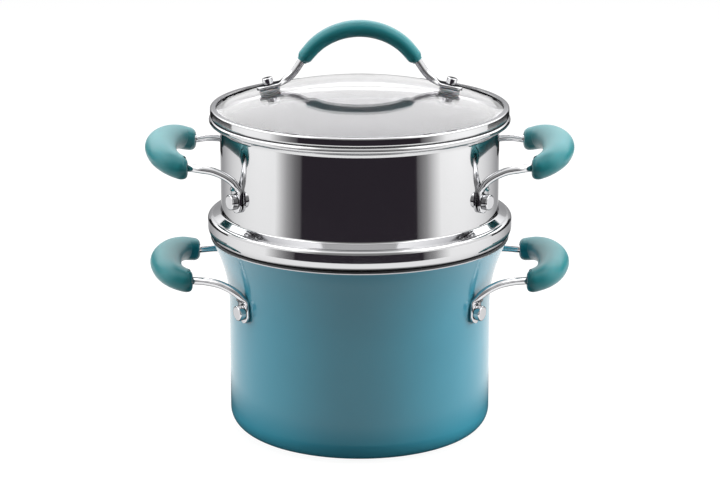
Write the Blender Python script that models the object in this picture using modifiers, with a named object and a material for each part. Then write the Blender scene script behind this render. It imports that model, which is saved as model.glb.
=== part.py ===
"""Saucepan with a steamer insert and a domed glass lid, stacked as they are used.

The pot stands on z = 0 with its axis on the world Z axis, and every pair of side
handles points along +X and -X. The steamer rests on the pot's rim and the lid on the
steamer's rim. Each of the two lifts straight off, so each has its own empty, placed
on the common axis at the height of its seat. All sizes are in metres.
"""

from math import asin, cos, degrees, pi, radians, sin, sqrt, tan

import bmesh
import bpy
from mathutils import Matrix, Vector
from mathutils.geometry import interpolate_bezier

# Gap between pieces that touch
FIT = 0.0003

# How finely round pieces are divided
BODY_STEPS = 32
SMALL_STEPS = 10
ROD_SIDES = 8
GRIP_SIDES = 12

# Pot: drawn aluminium, with a straight wall that flares out towards the rim
POT_RADIUS = 0.0865
POT_HEIGHT = 0.1317
POT_WALL = 0.0025
POT_BASE = 0.0035
POT_CORNER = 0.0125
POT_FLARE_HEIGHT = 0.0477
POT_FLARE_RADIUS = 0.096

# Steamer: one pressed sheet, with heights measured from its seat on the pot's rim
STEAMER_SHEET = 0.001
STEAMER_HEIGHT = 0.0787
STEAMER_INSET = 0.0058
DIP_GAP = 0.0015
DIP_DEPTH = 0.032
DIP_CORNER = 0.008
THROAT_ROUND = 0.010
BEAD_OVERHANG = 0.0030
BEAD_FOOT_ROUND = 0.0022
BEAD_SWELL = 0.0075
BEAD_TURN = 40.0
BEAD_FACE = 0.0105
BEAD_TOP_ROUND = 0.0030
CREASE_ROUND = 0.0015
SHOULDER_SLOPE = 25.0
WALL_FILLET = 0.0015
RIM_OVERHANG = 0.0071
RIM_ROUND = 0.0020
RIM_COVE = 0.0040

# Holes in the steamer's floor, in rings round one hole in the middle
STEAM_HOLE_RADIUS = 0.0032
STEAM_RING_PITCH = 0.0190
STEAM_MARGIN = 0.010
STEAM_PHASE = radians(1.7)

# Lid: a glass dome held in a steel band, with heights from the steamer's rim
BAND_SHEET = 0.0009
BAND_SETBACK = 0.0008
BAND_LIP = 0.0036
BAND_TOP_ROUND = 0.0011
BAND_FOOT_ROUND = 0.0013
SKIRT_GAP = 0.0013
SKIRT_DEPTH = 0.0062
GLASS_THICKNESS = 0.0035
GLASS_GAP = 0.0004
GLASS_FLAT = 0.0042
GLASS_RISE = 0.0168
GLASS_EDGE_ROUND = 0.0006

# Steel rod of the handles, hammered flat into tabs where it is fastened
ROD_RADIUS = 0.0025
TAB_WIDTH = 0.0110
TAB_THICKNESS = 0.0024
TAB_NECK = 0.0065

# Side handles, two legs each, at this angle to either side of the X axis
LEG_ANGLE = radians(32.0)
TAB_BELOW_RIVET = 0.0075
TAB_ABOVE_RIVET = 0.0060
KNEE_SHARE = 0.64
KNEE_STAND_OFF = 0.0012
KNEE_DROP = 0.0016
LEG_SHARE = 0.28
GRIP_TURN = 0.016
GRIP_TAIL = 0.0040

POT_RIVET_DROP = 0.0414
POT_LEG_RISE = 0.0186
POT_LEG_DRAW = 0.0048
POT_GRIP_DRAW = 0.0030
POT_GRIP_REACH = 0.0420
POT_GRIP_RISE = 0.0035

STEAMER_RIVET_HEIGHT = 0.0326
STEAMER_LEG_RISE = 0.0203
STEAMER_LEG_DRAW = 0.0028
STEAMER_GRIP_DRAW = 0.0045
STEAMER_GRIP_REACH = 0.0392
STEAMER_GRIP_RISE = 0.0054

# Moulded silicone grips: half sizes of their sections
GRIP_END_RADIUS = 0.0074
GRIP_MIDDLE_WIDTH = 0.0106
GRIP_MIDDLE_HEIGHT = 0.0092
GRIP_EDGE = 0.0040

# Rivets of the side handles
RIVET_SHANK = 0.0025
RIVET_HEAD_RADIUS = 0.0050
RIVET_HEAD_HEIGHT = 0.0042
RIVET_HEAD_ROUND = 0.0009
RIVET_TAIL_RADIUS = 0.0046
RIVET_TAIL_HEIGHT = 0.0012

# Lid handle, an arch across X, with its rises measured from the top of the dome
LID_FOOT_RADIUS = 0.0583
LID_FOOT_OUT = 0.0080
LID_FOOT_IN = 0.0070
LID_KNEE_IN = 0.0147
LID_KNEE_RISE = 0.0054
LID_ARCH_RADIUS = 0.0435
LID_ARCH_RISE = 0.0357
LID_ARCH_ANGLE = radians(57.0)
LID_GRIP_LENGTH = 0.0900
LID_GRIP_WIDTH = 0.0064
LID_GRIP_HEIGHT = 0.0056
LID_GRIP_END = 0.88

# Screws, gaskets and cap nuts that hold the lid handle to the glass
SCREW_SHANK = 0.0022
SCREW_HEAD_RADIUS = 0.0034
SCREW_HEAD_HEIGHT = 0.0042
SCREW_HEAD_ROUND = 0.0008
GASKET_RADIUS = 0.0068
GASKET_THICKNESS = 0.0020
SLEEVE_WALL = 0.0012
SEAL_THICKNESS = 0.0014
NUT_RADIUS = 0.0055
NUT_HEIGHT = 0.0052
NUT_FLANGE = 0.0012
NUT_FLANGE_RADIUS = 0.0066
SCREW_REACH = 0.0036

# Worked out from the sizes above: the pot's flare and the line round the top of its rim
POT_FLARE_START = POT_HEIGHT - POT_FLARE_HEIGHT
FLARE_MIDDLE = POT_FLARE_RADIUS + POT_WALL / 2.0
RIM_LEAN = asin((POT_FLARE_HEIGHT - POT_WALL / 2.0) / FLARE_MIDDLE)
RIM_LINE = POT_RADIUS + POT_FLARE_RADIUS - FLARE_MIDDLE * cos(RIM_LEAN)

# The steamer fits the pot's rim and inside, and the lid fits the steamer's rim and inside
STEAMER_RADIUS = RIM_LINE - STEAMER_INSET
DIP_RADIUS = POT_RADIUS - POT_WALL - DIP_GAP
BEAD_RADIUS = RIM_LINE + BEAD_OVERHANG
RIM_RADIUS = STEAMER_RADIUS + RIM_OVERHANG
SKIRT_RADIUS = STEAMER_RADIUS - STEAMER_SHEET - SKIRT_GAP
BAND_RADIUS = RIM_RADIUS - BAND_SETBACK
GLASS_EDGE_RADIUS = BAND_RADIUS - BAND_SHEET - GLASS_GAP
GLASS_EDGE_TOP = FIT + BAND_SHEET + FIT + GLASS_THICKNESS
GLASS_TOP = GLASS_EDGE_TOP + GLASS_RISE
GLASS_SPHERE = ((GLASS_EDGE_RADIUS - GLASS_FLAT) ** 2 + GLASS_RISE ** 2) / (2.0 * GLASS_RISE)

# Colour, metallic and roughness of each material
MATERIALS = {
    "teal_enamel": ("#4a8494", 0.0, 0.18),
    "polished_steel": ("#d6d6d8", 1.0, 0.08),
    "tempered_glass": ("#dfe6e6", 0.0, 0.03),
    "teal_silicone": ("#1f7f88", 0.0, 0.55),
    "clear_silicone": ("#8b8f90", 0.0, 0.60),
}


# Scene helpers

def clear_scene():
    for obj in list(bpy.data.objects):
        bpy.data.objects.remove(obj)


def linear(value):
    """One sRGB channel from 0 to 1 as a linear value."""
    return value / 12.92 if value <= 0.04045 else ((value + 0.055) / 1.055) ** 2.4


def make_material(name):
    colour, metallic, roughness = MATERIALS[name]
    material = bpy.data.materials.new(name)
    material.use_nodes = True
    shader = material.node_tree.nodes["Principled BSDF"]
    channels = [linear(int(colour[i:i + 2], 16) / 255) for i in (1, 3, 5)]
    shader.inputs["Base Color"].default_value = (*channels, 1.0)
    shader.inputs["Metallic"].default_value = metallic
    shader.inputs["Roughness"].default_value = roughness
    if name == "tempered_glass":
        shader.inputs["Transmission Weight"].default_value = 1.0
    return material


def make_collection(name):
    collection = bpy.data.collections.new(name)
    bpy.context.scene.collection.children.link(collection)
    return collection


def make_frame(name, height):
    """An empty on the common axis, which carries the pieces that lift together."""
    frame = bpy.data.objects.new(name, None)
    frame.location = (0.0, 0.0, height)
    frame.empty_display_size = 0.05
    PARTS.objects.link(frame)
    return frame


def add_piece(name, mesh, frame, material, place=Matrix()):
    piece = bpy.data.objects.new(name, mesh)
    piece.parent = frame
    piece.matrix_local = place
    mesh.materials.append(bpy.data.materials.get(material) or make_material(material))
    PARTS.objects.link(piece)
    return piece


def add_cutter(name, mesh, frame):
    cutter = bpy.data.objects.new(name, mesh)
    cutter.parent = frame
    cutter.hide_render = True
    cutter.display_type = "WIRE"
    CUTTERS.objects.link(cutter)
    return cutter


def cut(piece, cutter):
    boolean = piece.modifiers.new(cutter.name, "BOOLEAN")
    boolean.operation = "DIFFERENCE"
    boolean.object = cutter


# Geometry helpers

def arc(centre, radius, start, end, steps):
    """Points on a circle in the section plane, from one angle in degrees to another."""
    x, z = centre
    angles = [radians(start + (end - start) * i / steps) for i in range(steps + 1)]
    return [(x + radius * cos(a), z + radius * sin(a)) for a in angles]


def inner_side(outer, thickness):
    """The line on the left of an outline that runs outwards and up, a sheet away."""
    inner = []
    for i, (x, z) in enumerate(outer):
        before = Vector(outer[max(i - 1, 0)])
        after = Vector(outer[min(i + 1, len(outer) - 1)])
        here = Vector((x, z))
        sides = [(b - a).normalized() for a, b in ((before, here), (here, after)) if a != b]
        normals = [Vector((-side.y, side.x)) for side in sides]
        middle = sum(normals, Vector((0.0, 0.0))).normalized()
        shifted = here + middle * thickness / middle.dot(normals[0])
        inner.append((0.0 if x == 0.0 else shifted.x, shifted.y))
    return inner


def turned(name, section, frame, material, steps=BODY_STEPS, ring=False, place=Matrix()):
    """A section in the XZ plane turned about Z; its outer side runs from top to bottom."""
    edges = [(i, i + 1) for i in range(len(section) - 1)]
    if ring:
        edges.append((len(section) - 1, 0))
    mesh = bpy.data.meshes.new(name)
    mesh.from_pydata([(x, 0.0, z) for x, z in section], edges, [])
    piece = add_piece(name, mesh, frame, material, place)
    screw = piece.modifiers.new("turn", "SCREW")
    screw.angle = 2.0 * pi
    screw.axis = "Z"
    screw.steps = steps
    screw.render_steps = steps
    screw.use_merge_vertices = True
    screw.merge_threshold = 0.00001
    screw.use_smooth_shade = True
    return piece


def cylinders(name, places, radius, depth, sides):
    """One mesh of separate closed cylinders, centred on the given places."""
    bm = bmesh.new()
    for place in places:
        bmesh.ops.create_cone(bm, cap_ends=True, segments=sides, radius1=radius,
                              radius2=radius, depth=depth, matrix=place)
    mesh = bpy.data.meshes.new(name)
    bm.to_mesh(mesh)
    bm.free()
    return mesh


def smooth_path(points, per_span=10):
    """A smooth curve through the points, as a dense list of points."""
    last = len(points) - 1
    tangents = [(points[min(i + 1, last)] - points[max(i - 1, 0)]).normalized()
                for i in range(last + 1)]
    path = []
    for i in range(last):
        reach = (points[i + 1] - points[i]).length / 3.0
        path += interpolate_bezier(points[i], points[i] + tangents[i] * reach,
                                   points[i + 1] - tangents[i + 1] * reach,
                                   points[i + 1], per_span + 1)[:-1]
    return path + [points[-1]]


def path_length(path):
    return sum((b - a).length for a, b in zip(path, path[1:]))


def walk(path, distance):
    """The point and the direction of the path at a distance from its start."""
    for a, b in zip(path, path[1:]):
        step = (b - a).length
        if distance <= step:
            break
        distance -= step
    direction = (b - a).normalized()
    return a + direction * min(distance, step), direction


def loft(name, stations, sides):
    """A closed skin over oval sections along a path, from tab to rod or end to middle.

    A curve with a bevel keeps one section, so the rings are bridged here instead. A
    station holds its centre, the direction of its width, the direction of its height
    and the two half sizes.
    """
    bm = bmesh.new()
    rings = []
    for centre, wide, high, half_width, half_height in stations:
        ring = []
        for i in range(sides):
            angle = 2.0 * pi * (i + 0.5) / sides
            offset = wide * half_width * cos(angle) + high * half_height * sin(angle)
            ring.append(bm.verts.new(centre + offset))
        rings.append(ring)
    for ring, following in zip(rings, rings[1:]):
        for i in range(sides):
            j = (i + 1) % sides
            bm.faces.new((ring[i], ring[j], following[j], following[i]))
    bm.faces.new(rings[0])
    bm.faces.new(rings[-1])
    bmesh.ops.recalc_face_normals(bm, faces=bm.faces)
    mesh = bpy.data.meshes.new(name)
    bm.to_mesh(mesh)
    bm.free()
    mesh.shade_smooth()
    mesh.set_sharp_from_angle(angle=radians(40.0))
    return mesh


# Rods, tabs and grips

def rod_stations(path, tab_flat, side_of):
    """Sections of a handle rod with a round-ended flat tab at each end.

    side_of gives the direction of the width for a direction of the path.
    """
    half = path_length(path) / 2.0
    tab_half = TAB_WIDTH / 2.0
    shape = [(tab_half * (1.0 - cos(radians(a))), tab_half * sin(radians(a)), 0.0)
             for a in (18.0, 42.0, 66.0, 90.0)]
    shape.append((tab_flat, tab_half, 0.0))
    for share in (0.3, 0.65, 1.0):
        width = tab_half + (ROD_RADIUS - tab_half) * share
        shape.append((tab_flat + TAB_NECK * share, width, share))
    rod_start = tab_flat + TAB_NECK
    count = 7
    shape += [(rod_start + (half - rod_start) * i / count, ROD_RADIUS, 1.0)
              for i in range(1, count + 1)]
    back = [(2.0 * half - distance, width, share) for distance, width, share in shape[-2::-1]]
    stations = []
    for distance, width, share in shape + back:
        centre, direction = walk(path, distance)
        wide = side_of(direction, distance <= half)
        high = direction.cross(wide).normalized()
        height = TAB_THICKNESS / 2.0 + (ROD_RADIUS - TAB_THICKNESS / 2.0) * share
        stations.append((centre, wide, high, width, height))
    return stations


def sleeve_stations(path, side_of, width_at, height_at):
    """Sections of a grip with rounded ends over the whole of a path."""
    length = path_length(path)
    edge = [GRIP_EDGE * (1.0 - cos(radians(a))) for a in (0.0, 45.0, 90.0)]
    count = 7
    body = [GRIP_EDGE + (length - 2.0 * GRIP_EDGE) * i / count for i in range(1, count)]
    distances = edge + body + [length - distance for distance in reversed(edge)]
    stations = []
    for distance in distances:
        centre, direction = walk(path, distance)
        wide = side_of(direction, distance <= length / 2.0)
        high = direction.cross(wide).normalized()
        near_end = min(distance, length - distance)
        rounding = sqrt(max(0.0, 1.0 - (1.0 - min(near_end / GRIP_EDGE, 1.0)) ** 2))
        shrink = GRIP_EDGE * (1.0 - rounding)
        middle = sin(pi * distance / length)
        stations.append((centre, wide, high, width_at(middle) - shrink,
                         height_at(middle) - shrink))
    return stations


def level_side(direction, near_start):
    """Width of a side handle's rod: level, and along the wall where the rod hangs down."""
    spin = LEG_ANGLE if near_start else -LEG_ANGLE
    along_wall = Vector((-sin(spin), cos(spin), 0.0))
    if not near_start:
        along_wall = -along_wall
    across = Vector((-direction.y, direction.x, 0.0))
    level = min(across.length / 0.5, 1.0)
    across = across.normalized() if across.length > 0.001 else along_wall
    if across.dot(along_wall) < 0.0 and level < 1.0:
        across = -across
    return (along_wall * (1.0 - level) + across * level).normalized()


def handle_paths(wall_at, rivet_height, leg_rise, leg_draw, grip_draw, reach, grip_rise):
    """The rod's path and the grip's path of the side handle that points along +X.

    The legs draw in from the rivets by leg_draw, and the grip by grip_draw more.
    """
    def by_wall(height, stand_off):
        radius = wall_at(height) + FIT + stand_off
        return Vector((radius * cos(LEG_ANGLE), radius * sin(LEG_ANGLE), height))

    leg_height = rivet_height + leg_rise
    wall = wall_at(rivet_height)
    leg_spread = by_wall(rivet_height, 0.0).y - leg_draw
    grip_spread = leg_spread - grip_draw
    turn_x = wall + reach - GRIP_TURN
    tail_x = turn_x - GRIP_TAIL
    leg_x = wall + LEG_SHARE * reach
    tab = TAB_THICKNESS / 2.0
    knee = by_wall(rivet_height + KNEE_SHARE * leg_rise, ROD_RADIUS + KNEE_STAND_OFF)
    leg = [by_wall(rivet_height - TAB_BELOW_RIVET, tab),
           by_wall(rivet_height, tab),
           by_wall(rivet_height + TAB_ABOVE_RIVET, tab),
           knee,
           Vector(((knee.x + leg_x) / 2.0, (knee.y + leg_spread) / 2.0,
                   leg_height - KNEE_DROP)),
           Vector((leg_x, leg_spread, leg_height))]
    tail = Vector((tail_x, grip_spread, leg_height))
    turn = []
    for angle in (90.0, 62.0, 34.0):
        a = radians(angle)
        turn.append(Vector((turn_x + GRIP_TURN * cos(a), grip_spread * sin(a),
                            leg_height + grip_rise * cos(a))))
    middle = Vector((turn_x + GRIP_TURN, 0.0, leg_height + grip_rise))
    mirrored = [Vector((p.x, -p.y, p.z)) for p in reversed(leg + [tail] + turn)]
    rod_path = smooth_path(leg + [tail] + turn + [middle] + mirrored)
    around = [tail] + turn + [middle]
    grip_path = smooth_path(around + [Vector((p.x, -p.y, p.z)) for p in reversed(around[:-1])])
    return rod_path, grip_path


def side_handles(owner, frame, wall_at, sizes):
    """The two loop handles of a vessel, yielded once each has its grip."""
    rod_path, grip_path = handle_paths(wall_at, *sizes)
    tab_flat = TAB_BELOW_RIVET + TAB_ABOVE_RIVET
    bore = ROD_RADIUS + FIT
    rod = rod_stations(rod_path, tab_flat, level_side)
    grip = sleeve_stations(
        grip_path, level_side,
        lambda middle: GRIP_END_RADIUS + (GRIP_MIDDLE_WIDTH - GRIP_END_RADIUS) * middle,
        lambda middle: GRIP_END_RADIUS + (GRIP_MIDDLE_HEIGHT - GRIP_END_RADIUS) * middle)
    core = [(centre, wide, high, bore, bore) for centre, wide, high, width, height in rod
            if width <= ROD_RADIUS]
    for name, spin in (("right", 0.0), ("left", pi)):
        place = Matrix.Rotation(spin, 4, "Z")
        handle = add_piece(f"{owner}_handle_{name}", loft("rod", rod, ROD_SIDES), frame,
                           "polished_steel", place)
        sleeve = add_piece(f"{owner}_grip_{name}", loft("grip", grip, GRIP_SIDES), frame,
                           "teal_silicone", place)
        bore_cutter = add_cutter(f"{owner}_grip_bore_{name}", loft("bore", core, ROD_SIDES), frame)
        bore_cutter.matrix_local = place
        cut(sleeve, bore_cutter)
        yield handle


# Rivets

def rivet_places(wall, height, lean):
    """Where the four rivets of a vessel go: Z points out, square to the wall."""
    turns = {"right_back": LEG_ANGLE, "right_front": -LEG_ANGLE,
             "left_back": pi - LEG_ANGLE, "left_front": pi + LEG_ANGLE}
    for name, turn in turns.items():
        spot = Matrix.Rotation(turn, 4, "Z") @ Matrix.Translation((wall, 0.0, height))
        yield name, spot @ Matrix.Rotation(pi / 2.0 + lean, 4, "Y")


def rivet_section(wall_radius, wall_thickness):
    """Outer head on the tab, shank through the wall and a flat tail inside."""
    head_foot = FIT + TAB_THICKNESS + FIT
    head_top = head_foot + RIVET_HEAD_HEIGHT
    inside = (wall_radius - wall_thickness) * cos(pi / BODY_STEPS)
    tail_top = sqrt(inside ** 2 - RIVET_TAIL_RADIUS ** 2) - wall_radius - FIT
    rounded = arc((RIVET_HEAD_RADIUS - RIVET_HEAD_ROUND, head_top - RIVET_HEAD_ROUND),
                  RIVET_HEAD_ROUND, 90.0, 0.0, 2)
    return ([(0.0, head_top)] + rounded
            + [(RIVET_HEAD_RADIUS, head_foot), (RIVET_SHANK, head_foot),
               (RIVET_SHANK, tail_top), (RIVET_TAIL_RADIUS, tail_top),
               (RIVET_TAIL_RADIUS * 0.8, tail_top - RIVET_TAIL_HEIGHT),
               (0.0, tail_top - RIVET_TAIL_HEIGHT)])


def rivet_vessel(owner, frame, vessel, handles, wall, thickness, height, lean=0.0):
    """Drill the vessel and its handles' tabs, and set the four rivets."""
    places = dict(rivet_places(wall, height, lean))
    section = rivet_section(wall, thickness)
    drill = add_cutter(f"{owner}_rivet_holes",
                       cylinders("holes", places.values(), RIVET_SHANK + FIT,
                                 4.0 * RIVET_HEAD_RADIUS, SMALL_STEPS), frame)
    for piece in [vessel, *handles]:
        cut(piece, drill)
    for name, place in places.items():
        turned(f"{owner}_rivet_{name}", section, frame, "polished_steel", SMALL_STEPS,
               place=place)


# Pot

def pot_section():
    lean = degrees(RIM_LEAN)
    flare = (POT_RADIUS + POT_FLARE_RADIUS, POT_FLARE_START)
    corner = (POT_RADIUS - POT_CORNER, POT_CORNER)
    inner_corner = POT_CORNER - POT_WALL
    inner = ([(0.0, POT_BASE)]
             + arc((corner[0], POT_BASE + inner_corner), inner_corner, -90.0, 0.0, 3)
             + arc(flare, POT_FLARE_RADIUS + POT_WALL, 180.0, 180.0 - lean, 5))
    rim_centre = (RIM_LINE, POT_HEIGHT - POT_WALL / 2.0)
    rim = arc(rim_centre, POT_WALL / 2.0, 180.0 - lean, -lean, 4)
    outer = ([(0.0, 0.0)]
             + arc(corner, POT_CORNER, -90.0, 0.0, 5)
             + arc(flare, POT_FLARE_RADIUS, 180.0, 180.0 - lean, 5))
    return inner + rim[1:-1] + outer[::-1]


def pot_lean(height):
    """How far the pot's wall leans out at a height, as an angle."""
    return asin(max(0.0, height - POT_FLARE_START) / POT_FLARE_RADIUS)


def pot_outside(height):
    """Outer radius of the pot's wall at a height."""
    return POT_RADIUS + POT_FLARE_RADIUS * (1.0 - cos(pot_lean(height)))


def build_pot():
    frame = make_frame("pot", 0.0)
    body = turned("pot_body", pot_section(), frame, "teal_enamel")
    height = POT_HEIGHT - POT_RIVET_DROP
    handles = list(side_handles("pot", frame, pot_outside,
                                (height, POT_LEG_RISE, POT_LEG_DRAW, POT_GRIP_DRAW,
                                 POT_GRIP_REACH, POT_GRIP_RISE)))
    rivet_vessel("pot", frame, body, handles, pot_outside(height), POT_WALL, height,
                 pot_lean(height))


# Steamer

def bead_outline():
    """The rolled bead that sits on the pot's rim, and the shoulder up to the wall."""
    turn = radians(BEAD_TURN)
    slope = radians(SHOULDER_SLOPE)
    lift = BEAD_SWELL - BEAD_FOOT_ROUND
    foot = (BEAD_RADIUS - BEAD_SWELL + lift * cos(turn), BEAD_FOOT_ROUND)
    swell = (BEAD_RADIUS - BEAD_SWELL, BEAD_FOOT_ROUND + lift * sin(turn))
    crown = (BEAD_RADIUS - BEAD_TOP_ROUND, BEAD_FACE)
    crease = (crown[0], BEAD_FACE + BEAD_TOP_ROUND + CREASE_ROUND)
    outline = (arc(foot, BEAD_FOOT_ROUND, -90.0, -BEAD_TURN, 1)
               + arc(swell, BEAD_SWELL, -BEAD_TURN, 0.0, 2)[1:]
               + arc(crown, BEAD_TOP_ROUND, 0.0, 90.0, 2)
               + arc(crease, CREASE_ROUND, 270.0, 270.0 - SHOULDER_SLOPE, 1)[1:])
    x, z = outline[-1]
    start = STEAMER_RADIUS + WALL_FILLET * (1.0 - sin(slope))
    height = z + (x - start) * tan(slope) + WALL_FILLET * cos(slope)
    return outline + arc((STEAMER_RADIUS + WALL_FILLET, height), WALL_FILLET,
                         270.0 - SHOULDER_SLOPE, 180.0, 1)


def steamer_section():
    """The sheet from the middle of the floor, over the pot's rim and up to the rim."""
    floor = -DIP_DEPTH
    outer = ([(0.0, floor)]
             + arc((DIP_RADIUS - DIP_CORNER, floor + DIP_CORNER), DIP_CORNER, -90.0, 0.0, 3)
             + arc((DIP_RADIUS + THROAT_ROUND, -THROAT_ROUND), THROAT_ROUND, 180.0, 90.0, 3)
             + bead_outline()
             + arc((STEAMER_RADIUS + RIM_COVE, STEAMER_HEIGHT - 2.0 * RIM_ROUND - RIM_COVE),
                   RIM_COVE, 180.0, 100.0, 2))
    rim = arc((RIM_RADIUS - RIM_ROUND, STEAMER_HEIGHT - RIM_ROUND), RIM_ROUND,
              -100.0, 190.0, 5)
    inner = inner_side(outer, STEAMER_SHEET)
    return inner + rim[::-1] + outer[::-1]


def steam_holes():
    """Rings of 6, 12, 18... holes; the phase keeps their corners off the floor's edges."""
    floor = Matrix.Translation((0.0, 0.0, -DIP_DEPTH))
    places = [floor]
    rings = int((DIP_RADIUS - DIP_CORNER - STEAM_MARGIN) / STEAM_RING_PITCH)
    for ring in range(1, rings + 1):
        count = 6 * ring
        for i in range(count):
            turn = STEAM_PHASE + 2.0 * pi * (i + 0.5 * (ring % 2)) / count
            spot = Matrix.Translation((ring * STEAM_RING_PITCH, 0.0, 0.0))
            places.append(floor @ Matrix.Rotation(turn, 4, "Z") @ spot)
    return cylinders("steam_holes", places, STEAM_HOLE_RADIUS, 4.0 * STEAMER_SHEET, 8)


def build_steamer():
    frame = make_frame("steamer", POT_HEIGHT + FIT)
    body = turned("steamer_body", steamer_section(), frame, "polished_steel")
    flat_floor = body.modifiers.new("flat_floor", "DECIMATE")
    flat_floor.decimate_type = "DISSOLVE"
    flat_floor.angle_limit = radians(0.1)
    cut(body, add_cutter("steamer_floor_holes", steam_holes(), frame))
    handles = list(side_handles("steamer", frame, lambda height: STEAMER_RADIUS,
                                (STEAMER_RIVET_HEIGHT, STEAMER_LEG_RISE,
                                 STEAMER_LEG_DRAW, STEAMER_GRIP_DRAW,
                                 STEAMER_GRIP_REACH, STEAMER_GRIP_RISE)))
    rivet_vessel("steamer", frame, body, handles, STEAMER_RADIUS, STEAMER_SHEET,
                 STEAMER_RIVET_HEIGHT)


# Lid

def glass_section():
    """A spherical dome that runs out into a flat edge."""
    centre = (0.0, GLASS_TOP - GLASS_SPHERE)

    def dome(radius, edge_height):
        edge = degrees(asin((edge_height - centre[1]) / radius))
        return arc(centre, radius, 90.0, edge, 5)

    top = dome(GLASS_SPHERE, GLASS_EDGE_TOP)
    under = dome(GLASS_SPHERE - GLASS_THICKNESS, GLASS_EDGE_TOP - GLASS_THICKNESS)
    middle = GLASS_EDGE_RADIUS - GLASS_EDGE_ROUND
    edge = (arc((middle, GLASS_EDGE_TOP - GLASS_EDGE_ROUND), GLASS_EDGE_ROUND, 90.0, 0.0, 2)
            + arc((middle, GLASS_EDGE_TOP - GLASS_THICKNESS + GLASS_EDGE_ROUND),
                  GLASS_EDGE_ROUND, 0.0, -90.0, 2))
    return top + edge + under[::-1]


def band_section():
    """Folded sheet: a lip over the glass, an outer wall, a ledge and a skirt."""
    top = GLASS_EDGE_TOP + FIT + BAND_SHEET
    outer = ([(SKIRT_RADIUS, -SKIRT_DEPTH)]
             + arc((SKIRT_RADIUS + BAND_FOOT_ROUND, FIT - BAND_FOOT_ROUND),
                   BAND_FOOT_ROUND, 180.0, 90.0, 2)
             + arc((BAND_RADIUS - BAND_FOOT_ROUND, FIT + BAND_FOOT_ROUND),
                   BAND_FOOT_ROUND, -90.0, 0.0, 2)
             + arc((BAND_RADIUS - BAND_TOP_ROUND, top - BAND_TOP_ROUND),
                   BAND_TOP_ROUND, 0.0, 90.0, 2)
             + [(BAND_RADIUS - BAND_LIP, top)])
    return inner_side(outer, BAND_SHEET) + outer[::-1]


def foot_frame(sign):
    """On the glass under a foot of the lid handle, with Z square to the dome."""
    slope = asin(LID_FOOT_RADIUS / GLASS_SPHERE)
    height = GLASS_TOP - GLASS_SPHERE * (1.0 - cos(slope))
    return (Matrix.Translation((sign * LID_FOOT_RADIUS, 0.0, height))
            @ Matrix.Rotation(sign * slope, 4, "Y"))


def lid_arch_path():
    """The centre line of the lid handle, from the foot at -X to the foot at +X."""
    foot = foot_frame(1.0)
    rise = FIT + GASKET_THICKNESS + FIT + TAB_THICKNESS / 2.0
    half = [foot @ Vector((LID_FOOT_OUT, 0.0, rise)),
            foot @ Vector((0.0, 0.0, rise)),
            foot @ Vector((-LID_FOOT_IN, 0.0, rise)),
            Vector((LID_FOOT_RADIUS - LID_KNEE_IN, 0.0, GLASS_TOP + LID_KNEE_RISE))]
    arch_top = GLASS_TOP + LID_ARCH_RISE
    for share in (1.0, 0.66, 0.33):
        angle = LID_ARCH_ANGLE * share
        half.append(Vector((LID_ARCH_RADIUS * sin(angle), 0.0,
                            arch_top - LID_ARCH_RADIUS * (1.0 - cos(angle)))))
    other = [Vector((-p.x, 0.0, p.z)) for p in half]
    return smooth_path(other + [Vector((0.0, 0.0, arch_top))] + half[::-1])


def across_lid(direction, near_start):
    return Vector((0.0, 1.0, 0.0))


def trim_path(path, length):
    """The middle stretch of a path, of the given length."""
    skip = (path_length(path) - length) / 2.0
    count = 40
    return [walk(path, skip + length * i / count)[0] for i in range(count + 1)]


def lid_fastener_sections():
    """Screw, upper gasket with its sleeve, seal and cap nut, from the glass outwards."""
    tab_foot = FIT + GASKET_THICKNESS + FIT
    head_foot = tab_foot + TAB_THICKNESS + FIT
    head_top = head_foot + SCREW_HEAD_HEIGHT
    shank_end = -GLASS_THICKNESS - FIT - SEAL_THICKNESS - FIT - SCREW_REACH
    hole = SCREW_SHANK + FIT
    sleeve = hole + SLEEVE_WALL
    screw = ([(0.0, head_top)]
             + arc((SCREW_HEAD_RADIUS - SCREW_HEAD_ROUND, head_top - SCREW_HEAD_ROUND),
                   SCREW_HEAD_ROUND, 90.0, 0.0, 2)
             + [(SCREW_HEAD_RADIUS, head_foot), (SCREW_SHANK, head_foot),
                (SCREW_SHANK, shank_end), (0.0, shank_end)])
    gasket_top = FIT + GASKET_THICKNESS
    gasket = [(hole, gasket_top), (GASKET_RADIUS - GASKET_THICKNESS / 2.0, gasket_top),
              (GASKET_RADIUS, gasket_top - GASKET_THICKNESS / 2.0), (GASKET_RADIUS, FIT),
              (sleeve, FIT), (sleeve, -GLASS_THICKNESS + FIT), (hole, -GLASS_THICKNESS + FIT)]
    seal_top = -GLASS_THICKNESS - FIT
    seal = [(hole, seal_top), (NUT_FLANGE_RADIUS, seal_top),
            (NUT_FLANGE_RADIUS, seal_top - SEAL_THICKNESS), (hole, seal_top - SEAL_THICKNESS)]
    nut_top = seal_top - SEAL_THICKNESS - FIT
    nut_foot = nut_top - NUT_HEIGHT
    crown = arc((NUT_RADIUS - NUT_HEIGHT / 2.0, nut_foot + NUT_HEIGHT / 2.0),
                NUT_HEIGHT / 2.0, 0.0, -90.0, 3)
    nut = ([(0.0, shank_end - FIT), (hole, shank_end - FIT), (hole, nut_top),
            (NUT_FLANGE_RADIUS, nut_top), (NUT_FLANGE_RADIUS, nut_top - NUT_FLANGE),
            (NUT_RADIUS, nut_top - NUT_FLANGE)]
           + crown + [(0.0, nut_foot)])
    return {"lid_screw": (screw, False, "polished_steel"),
            "lid_gasket": (gasket, True, "clear_silicone"),
            "lid_seal": (seal, True, "clear_silicone"),
            "lid_nut": (nut, False, "polished_steel")}


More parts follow.
